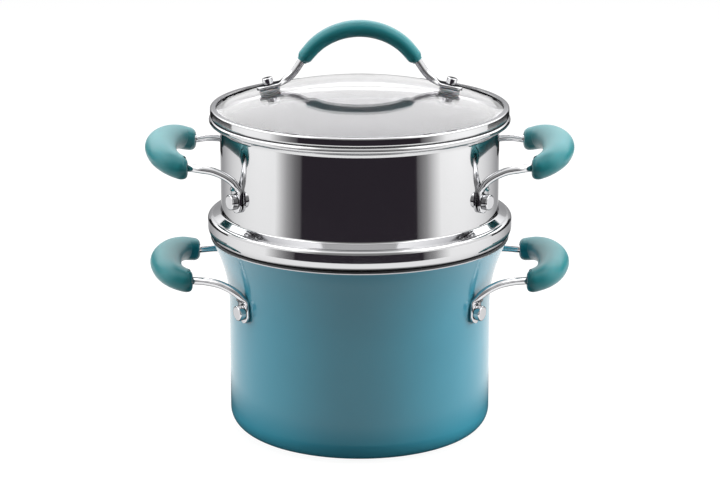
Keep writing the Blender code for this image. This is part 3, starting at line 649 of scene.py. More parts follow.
teal_silicone = new_material("teal_silicone", "#106d76", Roughness=0.35, IOR=1.47,
                             Subsurface_Weight=0.05, Subsurface_Scale=0.002,
                             Sheen_Weight=0.1, Sheen_Roughness=0.5)
coords = add_node(teal_silicone, "ShaderNodeTexCoord")
mottle = add_node(teal_silicone, "ShaderNodeTexNoise",
                  {"Vector": coords.outputs["Object"], "Scale": 1.0 / PIGMENT_CLOUD,
                   "Detail": 4.0})
pigment = add_node(teal_silicone, "ShaderNodeMix",
                   {"Factor": mottle.outputs["Fac"], "A": hex_colour("#04656b"),
                    "B": hex_colour("#087076")}, data_type="RGBA")
link_to_shader(teal_silicone, pigment.outputs[MIXED_COLOUR], "Base Color")
grain = add_node(teal_silicone, "ShaderNodeTexNoise",
                 {"Vector": coords.outputs["Object"], "Scale": 1.0 / GRIP_GRAIN, "Detail": 2.0})
matte = add_node(teal_silicone, "ShaderNodeBump",
                 {"Height": grain.outputs["Fac"], "Strength": 0.12, "Distance": 0.0001})
link_to_shader(teal_silicone, matte.outputs["Normal"], "Normal")
print("grains across one cloud of the pigment:", round(PIGMENT_CLOUD / GRIP_GRAIN))

# %% [markdown]
# ## Clear silicone
#
# Unpigmented rubber is never quite clear. Light enters it, scatters and comes out again,
# so a third of its colour comes from below the surface.

# %% Clear silicone
# Clear silicone gives the eye a dull, milky grey with clouds of 2 mm.
BLOOM_CLOUD = 0.002

clear_silicone = new_material("clear_silicone", "#8f9395", Roughness=0.4, IOR=1.43,
                              Subsurface_Weight=0.3, Subsurface_Scale=0.002)
coords = add_node(clear_silicone, "ShaderNodeTexCoord")
bloom = add_node(clear_silicone, "ShaderNodeTexNoise",
                 {"Vector": coords.outputs["Object"], "Scale": 1.0 / BLOOM_CLOUD, "Detail": 2.0})
milky = add_node(clear_silicone, "ShaderNodeMix",
                 {"Factor": bloom.outputs["Fac"], "A": hex_colour("#858a8c"),
                  "B": hex_colour("#9a9ea0")}, data_type="RGBA")
link_to_shader(clear_silicone, milky.outputs[MIXED_COLOUR], "Base Color")
print("materials so far:", len(bpy.data.materials))

# %% [markdown]
# ## Outlines to spin
#
# A round piece is one outline in the XZ plane, spun about Z. Straight stretches need two
# points, and round ones come from `arc`. A sheet has two sides, so the second side is
# the first one moved square to itself by the sheet's thickness. Where a long flat meets a
# tight bend, `held` adds a point close by, so smooth shading stays flat on the flat.

# %% Helpers for outlines
# A bend is tight where its step is shorter than this share of the flat beside it. The
# added point lies this share of that step away from it.
TIGHT_SHARE = 0.35
HOLD_SHARE = 0.3


def arc(centre, radius, start, end, steps):
    """Points on a circle in the XZ plane, from one angle in degrees to another."""
    x, z = centre
    angles = [radians(start + (end - start) * i / steps) for i in range(steps + 1)]
    return [(x + radius * cos(a), z + radius * sin(a)) for a in angles]


def other_side(line, thickness):
    """The line to the left of a line, a sheet's thickness away."""
    shifted = []
    for i, point in enumerate(line):
        here = Vector(point)
        before = Vector(line[max(i - 1, 0)])
        after = Vector(line[min(i + 1, len(line) - 1)])
        ways = [(b - a).normalized() for a, b in ((before, here), (here, after)) if a != b]
        normals = [Vector((-way.y, way.x)) for way in ways]
        middle = sum(normals, Vector((0.0, 0.0))).normalized()
        moved = here + middle * thickness / middle.dot(normals[0])
        shifted.append((0.0 if point[0] == 0.0 else moved.x, moved.y))
    return shifted


def held(points):
    """Add a point near each end of a straight stretch that meets a tight bend."""
    lengths = [(Vector(b) - Vector(a)).length for a, b in zip(points, points[1:])]
    line = [points[0]]
    for i, length in enumerate(lengths):
        a, b = Vector(points[i]), Vector(points[i + 1])
        if i > 0 and lengths[i - 1] < TIGHT_SHARE * length:
            line.append(tuple(a + (b - a) * HOLD_SHARE * lengths[i - 1] / length))
        if i + 1 < len(lengths) and lengths[i + 1] < TIGHT_SHARE * length:
            line.append(tuple(b + (a - b) * HOLD_SHARE * lengths[i + 1] / length))
        line.append(points[i + 1])
    return line


print("a quarter arc in 6 steps has", len(arc((0.0, 0.0), 1.0, 0.0, 90.0, 6)), "points")

# %% [markdown]
# ## Finished pieces
#
# Every bmesh ends the same way: doubled points are merged, normals are worked out anew
# after that, and edges that turn by more than an angle stay sharp. The piece then takes
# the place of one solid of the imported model.

# %% Helpers for finished pieces
MERGE_DISTANCE = 0.000002
SHARP_ANGLE = radians(35.0)


def finished_object(name, bm, materials, sharp=SHARP_ANGLE):
    """Close up a bmesh, shade it smooth but for its sharp edges, and make it an object."""
    bmesh.ops.remove_doubles(bm, verts=bm.verts, dist=MERGE_DISTANCE)
    bmesh.ops.recalc_face_normals(bm, faces=bm.faces)
    mesh = bpy.data.meshes.new(name)
    bm.to_mesh(mesh)
    bm.free()
    for material in materials:
        mesh.materials.append(material)
    mesh.shade_smooth()
    mesh.set_sharp_from_angle(angle=sharp)
    piece = bpy.data.objects.new(name, mesh)
    bpy.context.scene.collection.objects.link(piece)
    return piece


def stands_for(piece, node, body):
    """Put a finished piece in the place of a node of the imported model."""
    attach(piece, body)
    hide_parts(node)


# %% [markdown]
# ## Spinning
#
# An outline is passed as one list of points for each finish, so the pot can be enamel
# outside and dark inside while it stays one closed skin. A full spin merges its last step
# with its first, and points on the axis become one.

# %% Helper for round pieces
SPIN_STEPS = 180
SMALL_SPIN_STEPS = 48


def spun(name, stretches, materials, steps=SPIN_STEPS, place=Matrix()):
    """Spin stretches of one outline, one for each material, about the Z axis."""
    bm = bmesh.new()
    for index, points in enumerate(stretches):
        known = set(bm.faces)
        verts = [bm.verts.new((x, 0.0, z)) for x, z in held(points)]
        edges = [bm.edges.new(pair) for pair in zip(verts, verts[1:])]
        bmesh.ops.spin(bm, geom=verts + edges, cent=(0.0, 0.0, 0.0), axis=(0.0, 0.0, 1.0),
                       dvec=(0.0, 0.0, 0.0), angle=2.0 * pi, steps=steps, use_merge=True)
        for face in bm.faces:
            if face not in known:
                face.material_index = index
    bmesh.ops.transform(bm, matrix=place, verts=bm.verts)
    return finished_object(name, bm, materials)


print("a full spin turns", 360.0 / SPIN_STEPS, "degrees a step")

# %% [markdown]
# ## Pot
#
# The pot is drawn from aluminium: a straight wall, a rounded corner at the foot, and a
# bell mouth that gives the steamer a wide seat. The bell is one large arc that starts
# tangent to the wall, so light runs up it with no line where it begins. The enamel stops
# at the rim, where the bare edge shows as a thin bright ring.

# %% Pot
FIT = 0.0003
POT_RADIUS = 0.0865
POT_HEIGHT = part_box("pot_body")[1].z
POT_WALL = 0.0025
POT_BASE = 0.0035
POT_CORNER = 0.0125
POT_FLARE_HEIGHT = 0.0477
POT_FLARE_RADIUS = 0.096
RIM_COAT_END = 5.0
BASE_MARGIN = 0.001
BASE_BEVEL = 0.0006
BASE_RECESS = 0.0003

POT_FLARE_START = POT_HEIGHT - POT_FLARE_HEIGHT
FLARE_MIDDLE = POT_FLARE_RADIUS + POT_WALL / 2.0
RIM_LEAN = asin((POT_FLARE_HEIGHT - POT_WALL / 2.0) / FLARE_MIDDLE)
RIM_LINE = POT_RADIUS + POT_FLARE_RADIUS - FLARE_MIDDLE * cos(RIM_LEAN)

lean = degrees(RIM_LEAN)
flare_centre = (POT_RADIUS + POT_FLARE_RADIUS, POT_FLARE_START)
corner_centre = (POT_RADIUS - POT_CORNER, POT_CORNER)
base_edge = POT_RADIUS - POT_CORNER - BASE_MARGIN
bare_edge = (base_edge - BASE_BEVEL, BASE_RECESS)
coated_inside = ([(0.0, POT_BASE)]
                 + arc((corner_centre[0], POT_BASE + POT_CORNER - POT_WALL),
                       POT_CORNER - POT_WALL, -90.0, 0.0, 10)
                 + arc(flare_centre, POT_FLARE_RADIUS + POT_WALL, 180.0, 180.0 - lean, 24))
rim_centre = (RIM_LINE, POT_HEIGHT - POT_WALL / 2.0)
coated_rim = arc(rim_centre, POT_WALL / 2.0, 180.0 - lean, RIM_COAT_END, 12)
bare_rim = arc(rim_centre, POT_WALL / 2.0, RIM_COAT_END, -lean, 4)
enamelled_outside = (arc(flare_centre, POT_FLARE_RADIUS, 180.0 - lean, 180.0, 24)
                     + arc(corner_centre, POT_CORNER, 0.0, -90.0, 14)
                     + [(base_edge, 0.0), bare_edge])
bare_base = [bare_edge, (0.0, BASE_RECESS)]
pot = spun("enamelled_pot", [enamelled_outside, coated_inside + coated_rim[1:], bare_base,
                             bare_rim],
           [teal_enamel, nonstick, turned_aluminium, turned_aluminium])
stands_for(pot, "pot_body", "pot")

# %% [markdown]
# ## The pot's wall at a height
#
# Tabs and rivets sit on the flared wall, so two functions give its lean and its radius.

# %% Lean and radius of the pot's wall
def pot_lean(height):
    """How far the pot's wall leans out at a height, as an angle."""
    return asin(max(0.0, height - POT_FLARE_START) / POT_FLARE_RADIUS)


def pot_outside(height):
    """Outer radius of the pot's wall at a height."""
    return POT_RADIUS + POT_FLARE_RADIUS * (1.0 - cos(pot_lean(height)))


print("wall leans out by", round(degrees(pot_lean(POT_HEIGHT)), 1), "degrees at the rim")

# %% [markdown]
# ## Steamer
#
# One sheet of steel is pressed into the whole steamer. From the middle outwards it is a
# flat floor, a part that dips into the pot, a full round bead that sits on the rim, a
# sloping shoulder, the straight wall, and a rim that rolls outwards. All the bends are arcs
# with the radii of real press tools, because the highlights on them are what the eye
# reads as polished metal. The bead and the shoulder come first.

# %% The steamer's bead and shoulder
STEAMER_SHEET = 0.001
STEAMER_HEIGHT = 0.0787
STEAMER_INSET = 0.0058
DIP_GAP = 0.0015
DIP_DEPTH = 0.032
DIP_CORNER = 0.008
THROAT_ROUND = 0.010
BEAD_OVERHANG = 0.0030
BEAD_FOOT_ROUND = 0.0022
BEAD_SWELL = 0.0075
BEAD_TURN = 40.0
BEAD_FACE = 0.0105
BEAD_TOP_ROUND = 0.0030
CREASE_ROUND = 0.0015
SHOULDER_SLOPE = 25.0
WALL_FILLET = 0.0015
RIM_OVERHANG = 0.0071
RIM_ROUND = 0.0020
RIM_COVE = 0.0040
RIM_COVE_END = 100.0
RIM_ROLL_START = -100.0
RIM_ROLL_END = 190.0

STEAMER_SEAT = POT_HEIGHT + FIT
STEAMER_RADIUS = RIM_LINE - STEAMER_INSET
DIP_RADIUS = POT_RADIUS - POT_WALL - DIP_GAP
BEAD_RADIUS = RIM_LINE + BEAD_OVERHANG
RIM_RADIUS = STEAMER_RADIUS + RIM_OVERHANG

bead_turn = radians(BEAD_TURN)
slope = radians(SHOULDER_SLOPE)
lift = BEAD_SWELL - BEAD_FOOT_ROUND
crown = (BEAD_RADIUS - BEAD_TOP_ROUND, BEAD_FACE)
bead = (arc((BEAD_RADIUS - BEAD_SWELL + lift * cos(bead_turn), BEAD_FOOT_ROUND),
            BEAD_FOOT_ROUND, -90.0, -BEAD_TURN, 5)
        + arc((BEAD_RADIUS - BEAD_SWELL, BEAD_FOOT_ROUND + lift * sin(bead_turn)),
              BEAD_SWELL, -BEAD_TURN, 0.0, 9)[1:]
        + arc(crown, BEAD_TOP_ROUND, 0.0, 90.0, 12)
        + arc((crown[0], BEAD_FACE + BEAD_TOP_ROUND + CREASE_ROUND), CREASE_ROUND,
              270.0, 270.0 - SHOULDER_SLOPE, 4)[1:])
fillet_start = STEAMER_RADIUS + WALL_FILLET * (1.0 - sin(slope))
fillet_height = (bead[-1][1] + (bead[-1][0] - fillet_start) * tan(slope)
                 + WALL_FILLET * cos(slope))
bead += arc((STEAMER_RADIUS + WALL_FILLET, fillet_height), WALL_FILLET,
            270.0 - SHOULDER_SLOPE, 180.0, 8)

# %% [markdown]
# ## The whole steamer
#
# The outer side runs from the floor's middle to the foot of the rim, and the roll turns
# over from there. The inner side is the same line, one sheet further in. The outside is
# polished and the inside satin, so the two sides are two stretches of one outline.

# %% Steamer
floor_height = -DIP_DEPTH
pressed = ([(0.0, floor_height)]
           + arc((DIP_RADIUS - DIP_CORNER, floor_height + DIP_CORNER), DIP_CORNER,
                 -90.0, 0.0, 8)
           + arc((DIP_RADIUS + THROAT_ROUND, -THROAT_ROUND), THROAT_ROUND, 180.0, 90.0, 10)
           + bead
           + arc((STEAMER_RADIUS + RIM_COVE, STEAMER_HEIGHT - 2.0 * RIM_ROUND - RIM_COVE),
                 RIM_COVE, 180.0, RIM_COVE_END, 8))
rolled = arc((RIM_RADIUS - RIM_ROUND, STEAMER_HEIGHT - RIM_ROUND), RIM_ROUND,
             RIM_ROLL_START, RIM_ROLL_END, 20)
inside = other_side(pressed, STEAMER_SHEET)
steamer = spun("pressed_steamer", [pressed + rolled + [inside[-1]], inside],
               [polished_steel, satin_steel],
               place=Matrix.Translation((0.0, 0.0, STEAMER_SEAT)))
print("points of the steamer's outline:", len(pressed) + len(rolled) + len(inside))

# %% [markdown]
# ## Holes in the steamer's floor
#
# Steam rises through rings of round holes, each ring with six holes more than the last.
# All the punches are one mesh, taken out of the steamer in one cut, and the edges that
# the cut leaves are marked sharp, so the floor still shades as flat sheet.

# %% Holes in the steamer's floor
def punched_out(piece, punch_bm):
    """Take the punches out of a piece; their walls get the piece's first material."""
    punch = finished_object("punch", punch_bm, piece.data.materials[:1])
    cut = piece.modifiers.new("punched", "BOOLEAN")
    cut.operation = "DIFFERENCE"
    cut.object = punch
    graph = bpy.context.evaluated_depsgraph_get()
    punched = bpy.data.meshes.new_from_object(piece.evaluated_get(graph))
    punched.set_sharp_from_angle(angle=SHARP_ANGLE)
    piece.modifiers.clear()
    piece.data = punched
    bpy.data.objects.remove(punch)


STEAM_HOLE_RADIUS = 0.0032
STEAM_RING_PITCH = 0.0190
STEAM_MARGIN = 0.010
# A small turn of all the rings keeps the punches off the joints of the spun steps.
STEAM_TURN = radians(1.7)
STEAM_HOLE_SIDES = 24
PUNCH_LENGTH = 4.0 * STEAMER_SHEET

hole_bm = bmesh.new()
floor_place = Matrix.Translation((0.0, 0.0, STEAMER_SEAT + floor_height))
rings = int((DIP_RADIUS - DIP_CORNER - STEAM_MARGIN) / STEAM_RING_PITCH)
for ring in range(rings + 1):
    count = max(1, 6 * ring)
    for i in range(count):
        hole_turn = STEAM_TURN + 2.0 * pi * (i + 0.5 * (ring % 2)) / count
        spot = (Matrix.Rotation(hole_turn, 4, "Z")
                @ Matrix.Translation((ring * STEAM_RING_PITCH, 0.0, 0.0)))
        bmesh.ops.create_cone(hole_bm, cap_ends=True, segments=STEAM_HOLE_SIDES,
                              radius1=STEAM_HOLE_RADIUS, radius2=STEAM_HOLE_RADIUS,
                              depth=PUNCH_LENGTH, matrix=floor_place @ spot)
punched_out(steamer, hole_bm)
print("steam holes:", 1 + sum(6 * ring for ring in range(1, rings + 1)))
stands_for(steamer, "steamer_body", "steamer")

# %% [markdown]
# ## Lid
#
# Tempered lids are pressed as a shallow dome that runs out into a narrow flat edge. The
# outline is two spheres' arcs, a glass's thickness apart, joined by the rounded edge.

# %% Glass dome
BAND_SHEET = 0.0009
BAND_SETBACK = 0.0008
BAND_LIP = 0.0036
BAND_TOP_ROUND = 0.0011
BAND_FOOT_ROUND = 0.0013
SKIRT_GAP = 0.0013
SKIRT_DEPTH = 0.0062
GLASS_THICKNESS = 0.0035
GLASS_GAP = 0.0004
GLASS_FLAT = 0.0042
GLASS_RISE = 0.0168
GLASS_EDGE_ROUND = 0.0006

LID_SEAT = STEAMER_SEAT + STEAMER_HEIGHT
SKIRT_RADIUS = STEAMER_RADIUS - STEAMER_SHEET - SKIRT_GAP
BAND_RADIUS = RIM_RADIUS - BAND_SETBACK
GLASS_EDGE_RADIUS = BAND_RADIUS - BAND_SHEET - GLASS_GAP
GLASS_EDGE_TOP = FIT + BAND_SHEET + FIT + GLASS_THICKNESS
GLASS_TOP = GLASS_EDGE_TOP + GLASS_RISE
GLASS_SPHERE = ((GLASS_EDGE_RADIUS - GLASS_FLAT) ** 2 + GLASS_RISE ** 2) / (2.0 * GLASS_RISE)

on_steamer = Matrix.Translation((0.0, 0.0, LID_SEAT))
dome_centre = (0.0, GLASS_TOP - GLASS_SPHERE)


def dome(radius, edge_height):
    """The dome's curve from its top to where it meets the flat edge."""
    edge = degrees(asin((edge_height - dome_centre[1]) / radius))
    return arc(dome_centre, radius, 90.0, edge, 30)


edge_middle = GLASS_EDGE_RADIUS - GLASS_EDGE_ROUND
glass_outline = (dome(GLASS_SPHERE, GLASS_EDGE_TOP)
                 + arc((edge_middle, GLASS_EDGE_TOP - GLASS_EDGE_ROUND),
                       GLASS_EDGE_ROUND, 90.0, 0.0, 6)
                 + arc((edge_middle, GLASS_EDGE_TOP - GLASS_THICKNESS + GLASS_EDGE_ROUND),
                       GLASS_EDGE_ROUND, 0.0, -90.0, 6)
                 + dome(GLASS_SPHERE - GLASS_THICKNESS, GLASS_EDGE_TOP - GLASS_THICKNESS)[::-1])
glass = spun("glass_dome", [glass_outline], [tempered_glass], place=on_steamer)

# %% [markdown]
# ## Steel band
#
# A strip of sheet is folded round the glass's edge: a lip on top of the glass, an outer
# wall, a ledge that sits on the steamer, and a skirt that keeps the lid from sliding off.

# %% Steel band
band_top = GLASS_EDGE_TOP + FIT + BAND_SHEET
folded = ([(SKIRT_RADIUS, -SKIRT_DEPTH)]
          + arc((SKIRT_RADIUS + BAND_FOOT_ROUND, FIT - BAND_FOOT_ROUND),
                BAND_FOOT_ROUND, 180.0, 90.0, 6)
          + arc((BAND_RADIUS - BAND_FOOT_ROUND, FIT + BAND_FOOT_ROUND),
                BAND_FOOT_ROUND, -90.0, 0.0, 6)
          + arc((BAND_RADIUS - BAND_TOP_ROUND, band_top - BAND_TOP_ROUND),
                BAND_TOP_ROUND, 0.0, 90.0, 8)
          + [(BAND_RADIUS - BAND_LIP, band_top)])
band_outline = folded + other_side(folded, BAND_SHEET)[::-1] + [folded[0]]
band = spun("folded_band", [band_outline], [polished_steel], place=on_steamer)
stands_for(band, "lid_band", "lid")

# %% [markdown]
# ## Bent rods
#
# Each handle is one steel rod, bent, and hammered flat at both ends for its rivets or
# screws. The rod's centre line is a smooth curve through a few chosen points, kept as a
# dense list of points. It is measured along its length, as a bender measures rod.

# %% Helpers for paths
SPAN_STEPS = 24
# Rings of a swept piece lie this far apart, and its direction is measured over as much.
RING_SPACING = 0.0012


def smooth_path(points):
    """A smooth curve through the points, as a dense list of points."""
    last = len(points) - 1
    tangents = [(points[min(i + 1, last)] - points[max(i - 1, 0)]).normalized()
                for i in range(last + 1)]
    path = []
    for i in range(last):
        reach = (points[i + 1] - points[i]).length / 3.0
        path += interpolate_bezier(points[i], points[i] + tangents[i] * reach,
                                   points[i + 1] - tangents[i + 1] * reach,
                                   points[i + 1], SPAN_STEPS + 1)[:-1]
    return path + [points[-1]]


def path_length(path):
    """Length of a path, from point to point."""
    return sum((b - a).length for a, b in zip(path, path[1:]))


def point_along(path, distance):
    """The point of the path at a distance from its start, or straight on past an end."""
    for a, b in zip(path, path[1:]):
        step = (b - a).length
        if distance <= step:
            break
        distance -= step
    return a + (b - a) / step * distance


def direction_along(path, distance):
    """The way a path runs at a distance, measured from a little before to a little after."""
    return (point_along(path, distance + RING_SPACING / 2.0)
            - point_along(path, distance - RING_SPACING / 2.0)).normalized()


print("a straight path of 1 m measures", path_length([Vector((0, 0, 0)), Vector((1, 0, 0))]))

# %% [markdown]
# ## A ring along a path
#
# A ring is extruded along the path. At every step it is placed square to the curve and
# given its own width and height, and it grows square corners where the rod is flat. Both
# ends are filled, so a rod is one closed skin.

# %% Helpers for swept pieces
ROD_SIDES = 24
GRIP_SIDES = 48
SWEPT_SHARP_ANGLE = radians(50.0)
CORNER_FILL = 0.65


def squared(value, squareness):
    """A sine or cosine, pushed out towards one as the ring's corners fill."""
    return (1.0 if value >= 0.0 else -1.0) * abs(value) ** (1.0 - CORNER_FILL * squareness)


def swept(name, stations, sides, materials):
    """Extrude a ring from station to station and close both ends.

    A station holds its centre, the directions of its width and height, its two half
    sizes and how square it is.
    """
    bm = bmesh.new()
    ring = bmesh.ops.create_circle(bm, segments=sides, radius=1.0)["verts"]
    turns = {vert: (cos(2.0 * pi * (i + 0.5) / sides), sin(2.0 * pi * (i + 0.5) / sides))
             for i, vert in enumerate(ring)}
    edges = bm.edges[:]
    ends = [edges]

    def put(verts, station):
        centre, wide, high, half_width, half_height, squareness = station
        for vert in verts:
            c, s = turns[vert]
            vert.co = (centre + wide * half_width * squared(c, squareness)
                       + high * half_height * squared(s, squareness))

    put(ring, stations[0])
    for station in stations[1:]:
        made = bmesh.ops.extrude_edge_only(bm, edges=edges)["geom"]
        new = {part for part in made if isinstance(part, bmesh.types.BMVert)}
        for vert in new:
            behind = [edge.other_vert(vert) for edge in vert.link_edges
                      if edge.other_vert(vert) not in new]
            turns[vert] = turns[behind[0]]
        edges = list({edge for vert in new for edge in vert.link_edges
                      if all(end in new for end in edge.verts)})
        put(new, station)
    ends.append(edges)
    for end in ends:
        bmesh.ops.holes_fill(bm, edges=end, sides=sides)
    return finished_object(name, bm, materials, SWEPT_SHARP_ANGLE)


print("a half-square ring reaches", round(squared(sqrt(0.5), 0.5), 3), "at its corners")

# %% [markdown]
# ## Rod with hammered ends
#
# The tab is a flat with a round end, as wide as the rivet head. Behind it the flat eases
# back into the round rod over a short neck, which is where a hammered rod thickens.

# %% Rings of a rod
ROD_RADIUS = 0.0025
TAB_WIDTH = 0.0110
TAB_THICKNESS = 0.0024
TAB_NECK = 0.0065
NECK_STEPS = 8
# Degrees of a rounded end from one ring to the next.
END_STEP = 9


def eased(share):
    """Zero to one with a soft start and end."""
    return share * share * (3.0 - 2.0 * share)


def rod_stations(path, tab_flat, side_of):
    """Rings of a rod with a round-ended flat tab at each end."""
    length = path_length(path)
    tab_half = TAB_WIDTH / 2.0
    shape = [(tab_half * (1.0 - cos(radians(a))), tab_half * sin(radians(a)), 0.0)
             for a in range(END_STEP, 91, END_STEP)]
    shape.append((tab_flat, tab_half, 0.0))
    for i in range(1, NECK_STEPS + 1):
        share = eased(i / NECK_STEPS)
        shape.append((tab_flat + TAB_NECK * i / NECK_STEPS,
                      tab_half + (ROD_RADIUS - tab_half) * share, share))
    count = int((length / 2.0 - shape[-1][0]) / RING_SPACING)
    rod_start = shape[-1][0]
    shape += [(rod_start + (length / 2.0 - rod_start) * i / count, ROD_RADIUS, 1.0)
              for i in range(1, count + 1)]
    shape += [(length - distance, width, share) for distance, width, share in shape[-2::-1]]
    stations = []
    for distance, width, share in shape:
        way = direction_along(path, distance)
        wide = side_of(way, distance <= length / 2.0)
        height = TAB_THICKNESS / 2.0 + (ROD_RADIUS - TAB_THICKNESS / 2.0) * share
        stations.append((point_along(path, distance), wide, way.cross(wide).normalized(),
                         width, height, 1.0 - share))
    return stations


# %% [markdown]
# ## Silicone sleeves
#
# A grip is a sleeve moulded over the rod. It swells towards its middle and has rounded
# ends. The ring starts deep in the bore at one end, comes out of the mouth, turns over
# the lip and runs to the other mouth, so the rod really does come out of a hole.

# %% Sleeve stations
SLEEVE_EDGE = 0.0040
MOUTH_FLARE = 0.0006
BORE = ROD_RADIUS + FIT
LIP = BORE + MOUTH_FLARE
# Rings inside the bore: how deep each lies, and its radius.
BORE_RINGS = [(0.0060, BORE), (0.0010, BORE), (0.0003, LIP - 0.0002)]


def sleeve_stations(path, side_of, end_sizes, middle_sizes):
    """Rings of a sleeve over the whole of a path, from mouth to mouth.

    The sizes are half the width and half the height, at the ends and in the middle.
    """
    length = path_length(path)
    straight = length - 2.0 * SLEEVE_EDGE
    count = int(straight / RING_SPACING)
    first_end = [(SLEEVE_EDGE * (1.0 - cos(radians(a))), SLEEVE_EDGE * (1.0 - sin(radians(a))))
                 for a in range(0, 90, END_STEP)]
    shape = first_end + [(SLEEVE_EDGE + straight * i / count, 0.0) for i in range(count + 1)]
    shape += [(length - distance, shrink) for distance, shrink in first_end[::-1]]
    rings = [(depth, (radius, radius)) for depth, radius in BORE_RINGS]
    for distance, shrink in shape:
        swell = sin(pi * distance / length)
        rings.append((distance, [max(LIP, end + (middle - end) * swell - shrink)
                                 for end, middle in zip(end_sizes, middle_sizes)]))
    rings += [(length - depth, (radius, radius)) for depth, radius in BORE_RINGS[::-1]]
    stations = []
    for distance, sizes in rings:
        way = direction_along(path, distance)
        wide = side_of(way, distance <= length / 2.0)
        stations.append((point_along(path, distance), wide, way.cross(wide).normalized(),
                         *sizes, 0.0))
    return stations


# %% [markdown]
# ## Width of a side handle's rod
#
# A flat tab has to lie on the wall, and a grip has to lie level. So the rod's width runs
# along the wall where the rod hangs down, and turns level as the rod does.

# %% Width of a side handle's rod
LEG_ANGLE = radians(32.0)
# The rod's width is level where at least this share of its direction is. Below the
# second share the rod counts as upright.
LEVEL_ENOUGH = 0.5
UPRIGHT = 0.001


def level_side(way, near_start):
    """Width of a side handle's rod: level, and along the wall where the rod hangs down."""
    spin = LEG_ANGLE if near_start else -LEG_ANGLE
    along_wall = Vector((-sin(spin), cos(spin), 0.0))
    if not near_start:
        along_wall = -along_wall
    across = Vector((-way.y, way.x, 0.0))
    level = min(across.length / LEVEL_ENOUGH, 1.0)
    across = across.normalized() if across.length > UPRIGHT else along_wall
    if across.dot(along_wall) < 0.0 and level < 1.0:
        across = -across
    return (along_wall * (1.0 - level) + across * level).normalized()


print("rivets stand", round(degrees(LEG_ANGLE), 1), "degrees from the handle's middle")

# %% [markdown]
# ## Side handles
#
# A handle rises from two rivets, bends out level, and turns round inside the grip. Its
# tabs lie on the wall, which leans outwards on the pot, so their places are worked out
# from the wall's own radius. Only half of the path is written down, because the other
# half mirrors it.

# %% Paths of a side handle
TAB_BELOW_RIVET = 0.0075
TAB_ABOVE_RIVET = 0.0060
KNEE_SHARE = 0.64
KNEE_STAND_OFF = 0.0012
KNEE_DROP = 0.0016
LEG_SHARE = 0.28
GRIP_TURN = 0.016
GRIP_TAIL = 0.0040
GRIP_END_RADIUS = 0.0074
GRIP_MIDDLE_WIDTH = 0.0103
GRIP_MIDDLE_HEIGHT = 0.0090
# Where the grip's centre line passes on its way round, in degrees from the outermost point.
GRIP_TURN_POINTS = (90.0, 62.0, 34.0)


def handle_paths(wall_at, rivet_height, leg_rise, leg_draw, grip_draw, reach, grip_rise):
    """Centre lines of the rod and of the grip for the handle that points to +X."""
    def by_wall(height, stand_off):
        radius = wall_at(height) + FIT + stand_off
        return Vector((radius * cos(LEG_ANGLE), radius * sin(LEG_ANGLE), height))

    leg_height = rivet_height + leg_rise
    wall = wall_at(rivet_height)
    leg_spread = by_wall(rivet_height, 0.0).y - leg_draw
    grip_spread = leg_spread - grip_draw
    turn_x = wall + reach - GRIP_TURN
    leg_x = wall + LEG_SHARE * reach
    tab = TAB_THICKNESS / 2.0
    knee = by_wall(rivet_height + KNEE_SHARE * leg_rise, ROD_RADIUS + KNEE_STAND_OFF)
    leg = [by_wall(rivet_height - TAB_BELOW_RIVET, tab),
           by_wall(rivet_height, tab),
           by_wall(rivet_height + TAB_ABOVE_RIVET, tab),
           knee,
           Vector(((knee.x + leg_x) / 2.0, (knee.y + leg_spread) / 2.0,
                   leg_height - KNEE_DROP)),
           Vector((leg_x, leg_spread, leg_height))]
    tail = Vector((turn_x - GRIP_TAIL, grip_spread, leg_height))
    turn = [Vector((turn_x + GRIP_TURN * cos(radians(a)), grip_spread * sin(radians(a)),
                    leg_height + grip_rise * cos(radians(a)))) for a in GRIP_TURN_POINTS]
    middle = Vector((turn_x + GRIP_TURN, 0.0, leg_height + grip_rise))

    def both_ways(half):
        return smooth_path(half + [middle] + [Vector((p.x, -p.y, p.z)) for p in reversed(half)])

    return both_ways(leg + [tail] + turn), both_ways([tail] + turn)


# %% [markdown]
# ## The four side handles
#
# The pot's handles and the steamer's differ only in a few lengths, so one table holds
# them. The handle that points to +X is swept once and turned by half a turn for the other
# side, rod and sleeve alike.

# %% Side handles of the pot and the steamer
POT_RIVET_DROP = 0.0414
STEAMER_RIVET_RISE = 0.0326
POT_RIVET_HEIGHT = POT_HEIGHT - POT_RIVET_DROP
STEAMER_RIVET_HEIGHT = STEAMER_SEAT + STEAMER_RIVET_RISE


def steamer_outside(height):
    """Outer radius of the steamer's wall, which is the same at every height."""
    return STEAMER_RADIUS


HANDLES = {"pot": dict(wall_at=pot_outside, rivet_height=POT_RIVET_HEIGHT,
                       leg_rise=0.0186, leg_draw=0.0048, grip_draw=0.0030,
                       reach=0.0416, grip_rise=0.0035),
           "steamer": dict(wall_at=steamer_outside, rivet_height=STEAMER_RIVET_HEIGHT,
                           leg_rise=0.0203, leg_draw=0.0028, grip_draw=0.0045,
                           reach=0.0388, grip_rise=0.0054)}
for owner, sizes in HANDLES.items():
    rod_path, grip_path = handle_paths(**sizes)
    rod = rod_stations(rod_path, TAB_BELOW_RIVET + TAB_ABOVE_RIVET, level_side)
    sleeve = sleeve_stations(grip_path, level_side, (GRIP_END_RADIUS, GRIP_END_RADIUS),
                             (GRIP_MIDDLE_WIDTH, GRIP_MIDDLE_HEIGHT))
    for side, half_turn in (("right", 0.0), ("left", pi)):
        spin = Matrix.Rotation(half_turn, 4, "Z")
        loop = swept(f"{owner}_loop_{side}", rod, ROD_SIDES, [rod_steel])
        loop.data.transform(spin)
        stands_for(loop, f"{owner}_handle_{side}", owner)
        grip = swept(f"{owner}_sleeve_{side}", sleeve, GRIP_SIDES, [teal_silicone])
        grip.data.transform(spin)
        stands_for(grip, f"{owner}_grip_{side}", owner)

# %% [markdown]
# ## Rivets
#
# The rivets have tall flat heads like short pins, set on the tabs, and flat tails inside
# the vessel. They are spun upright and then laid square to the wall.

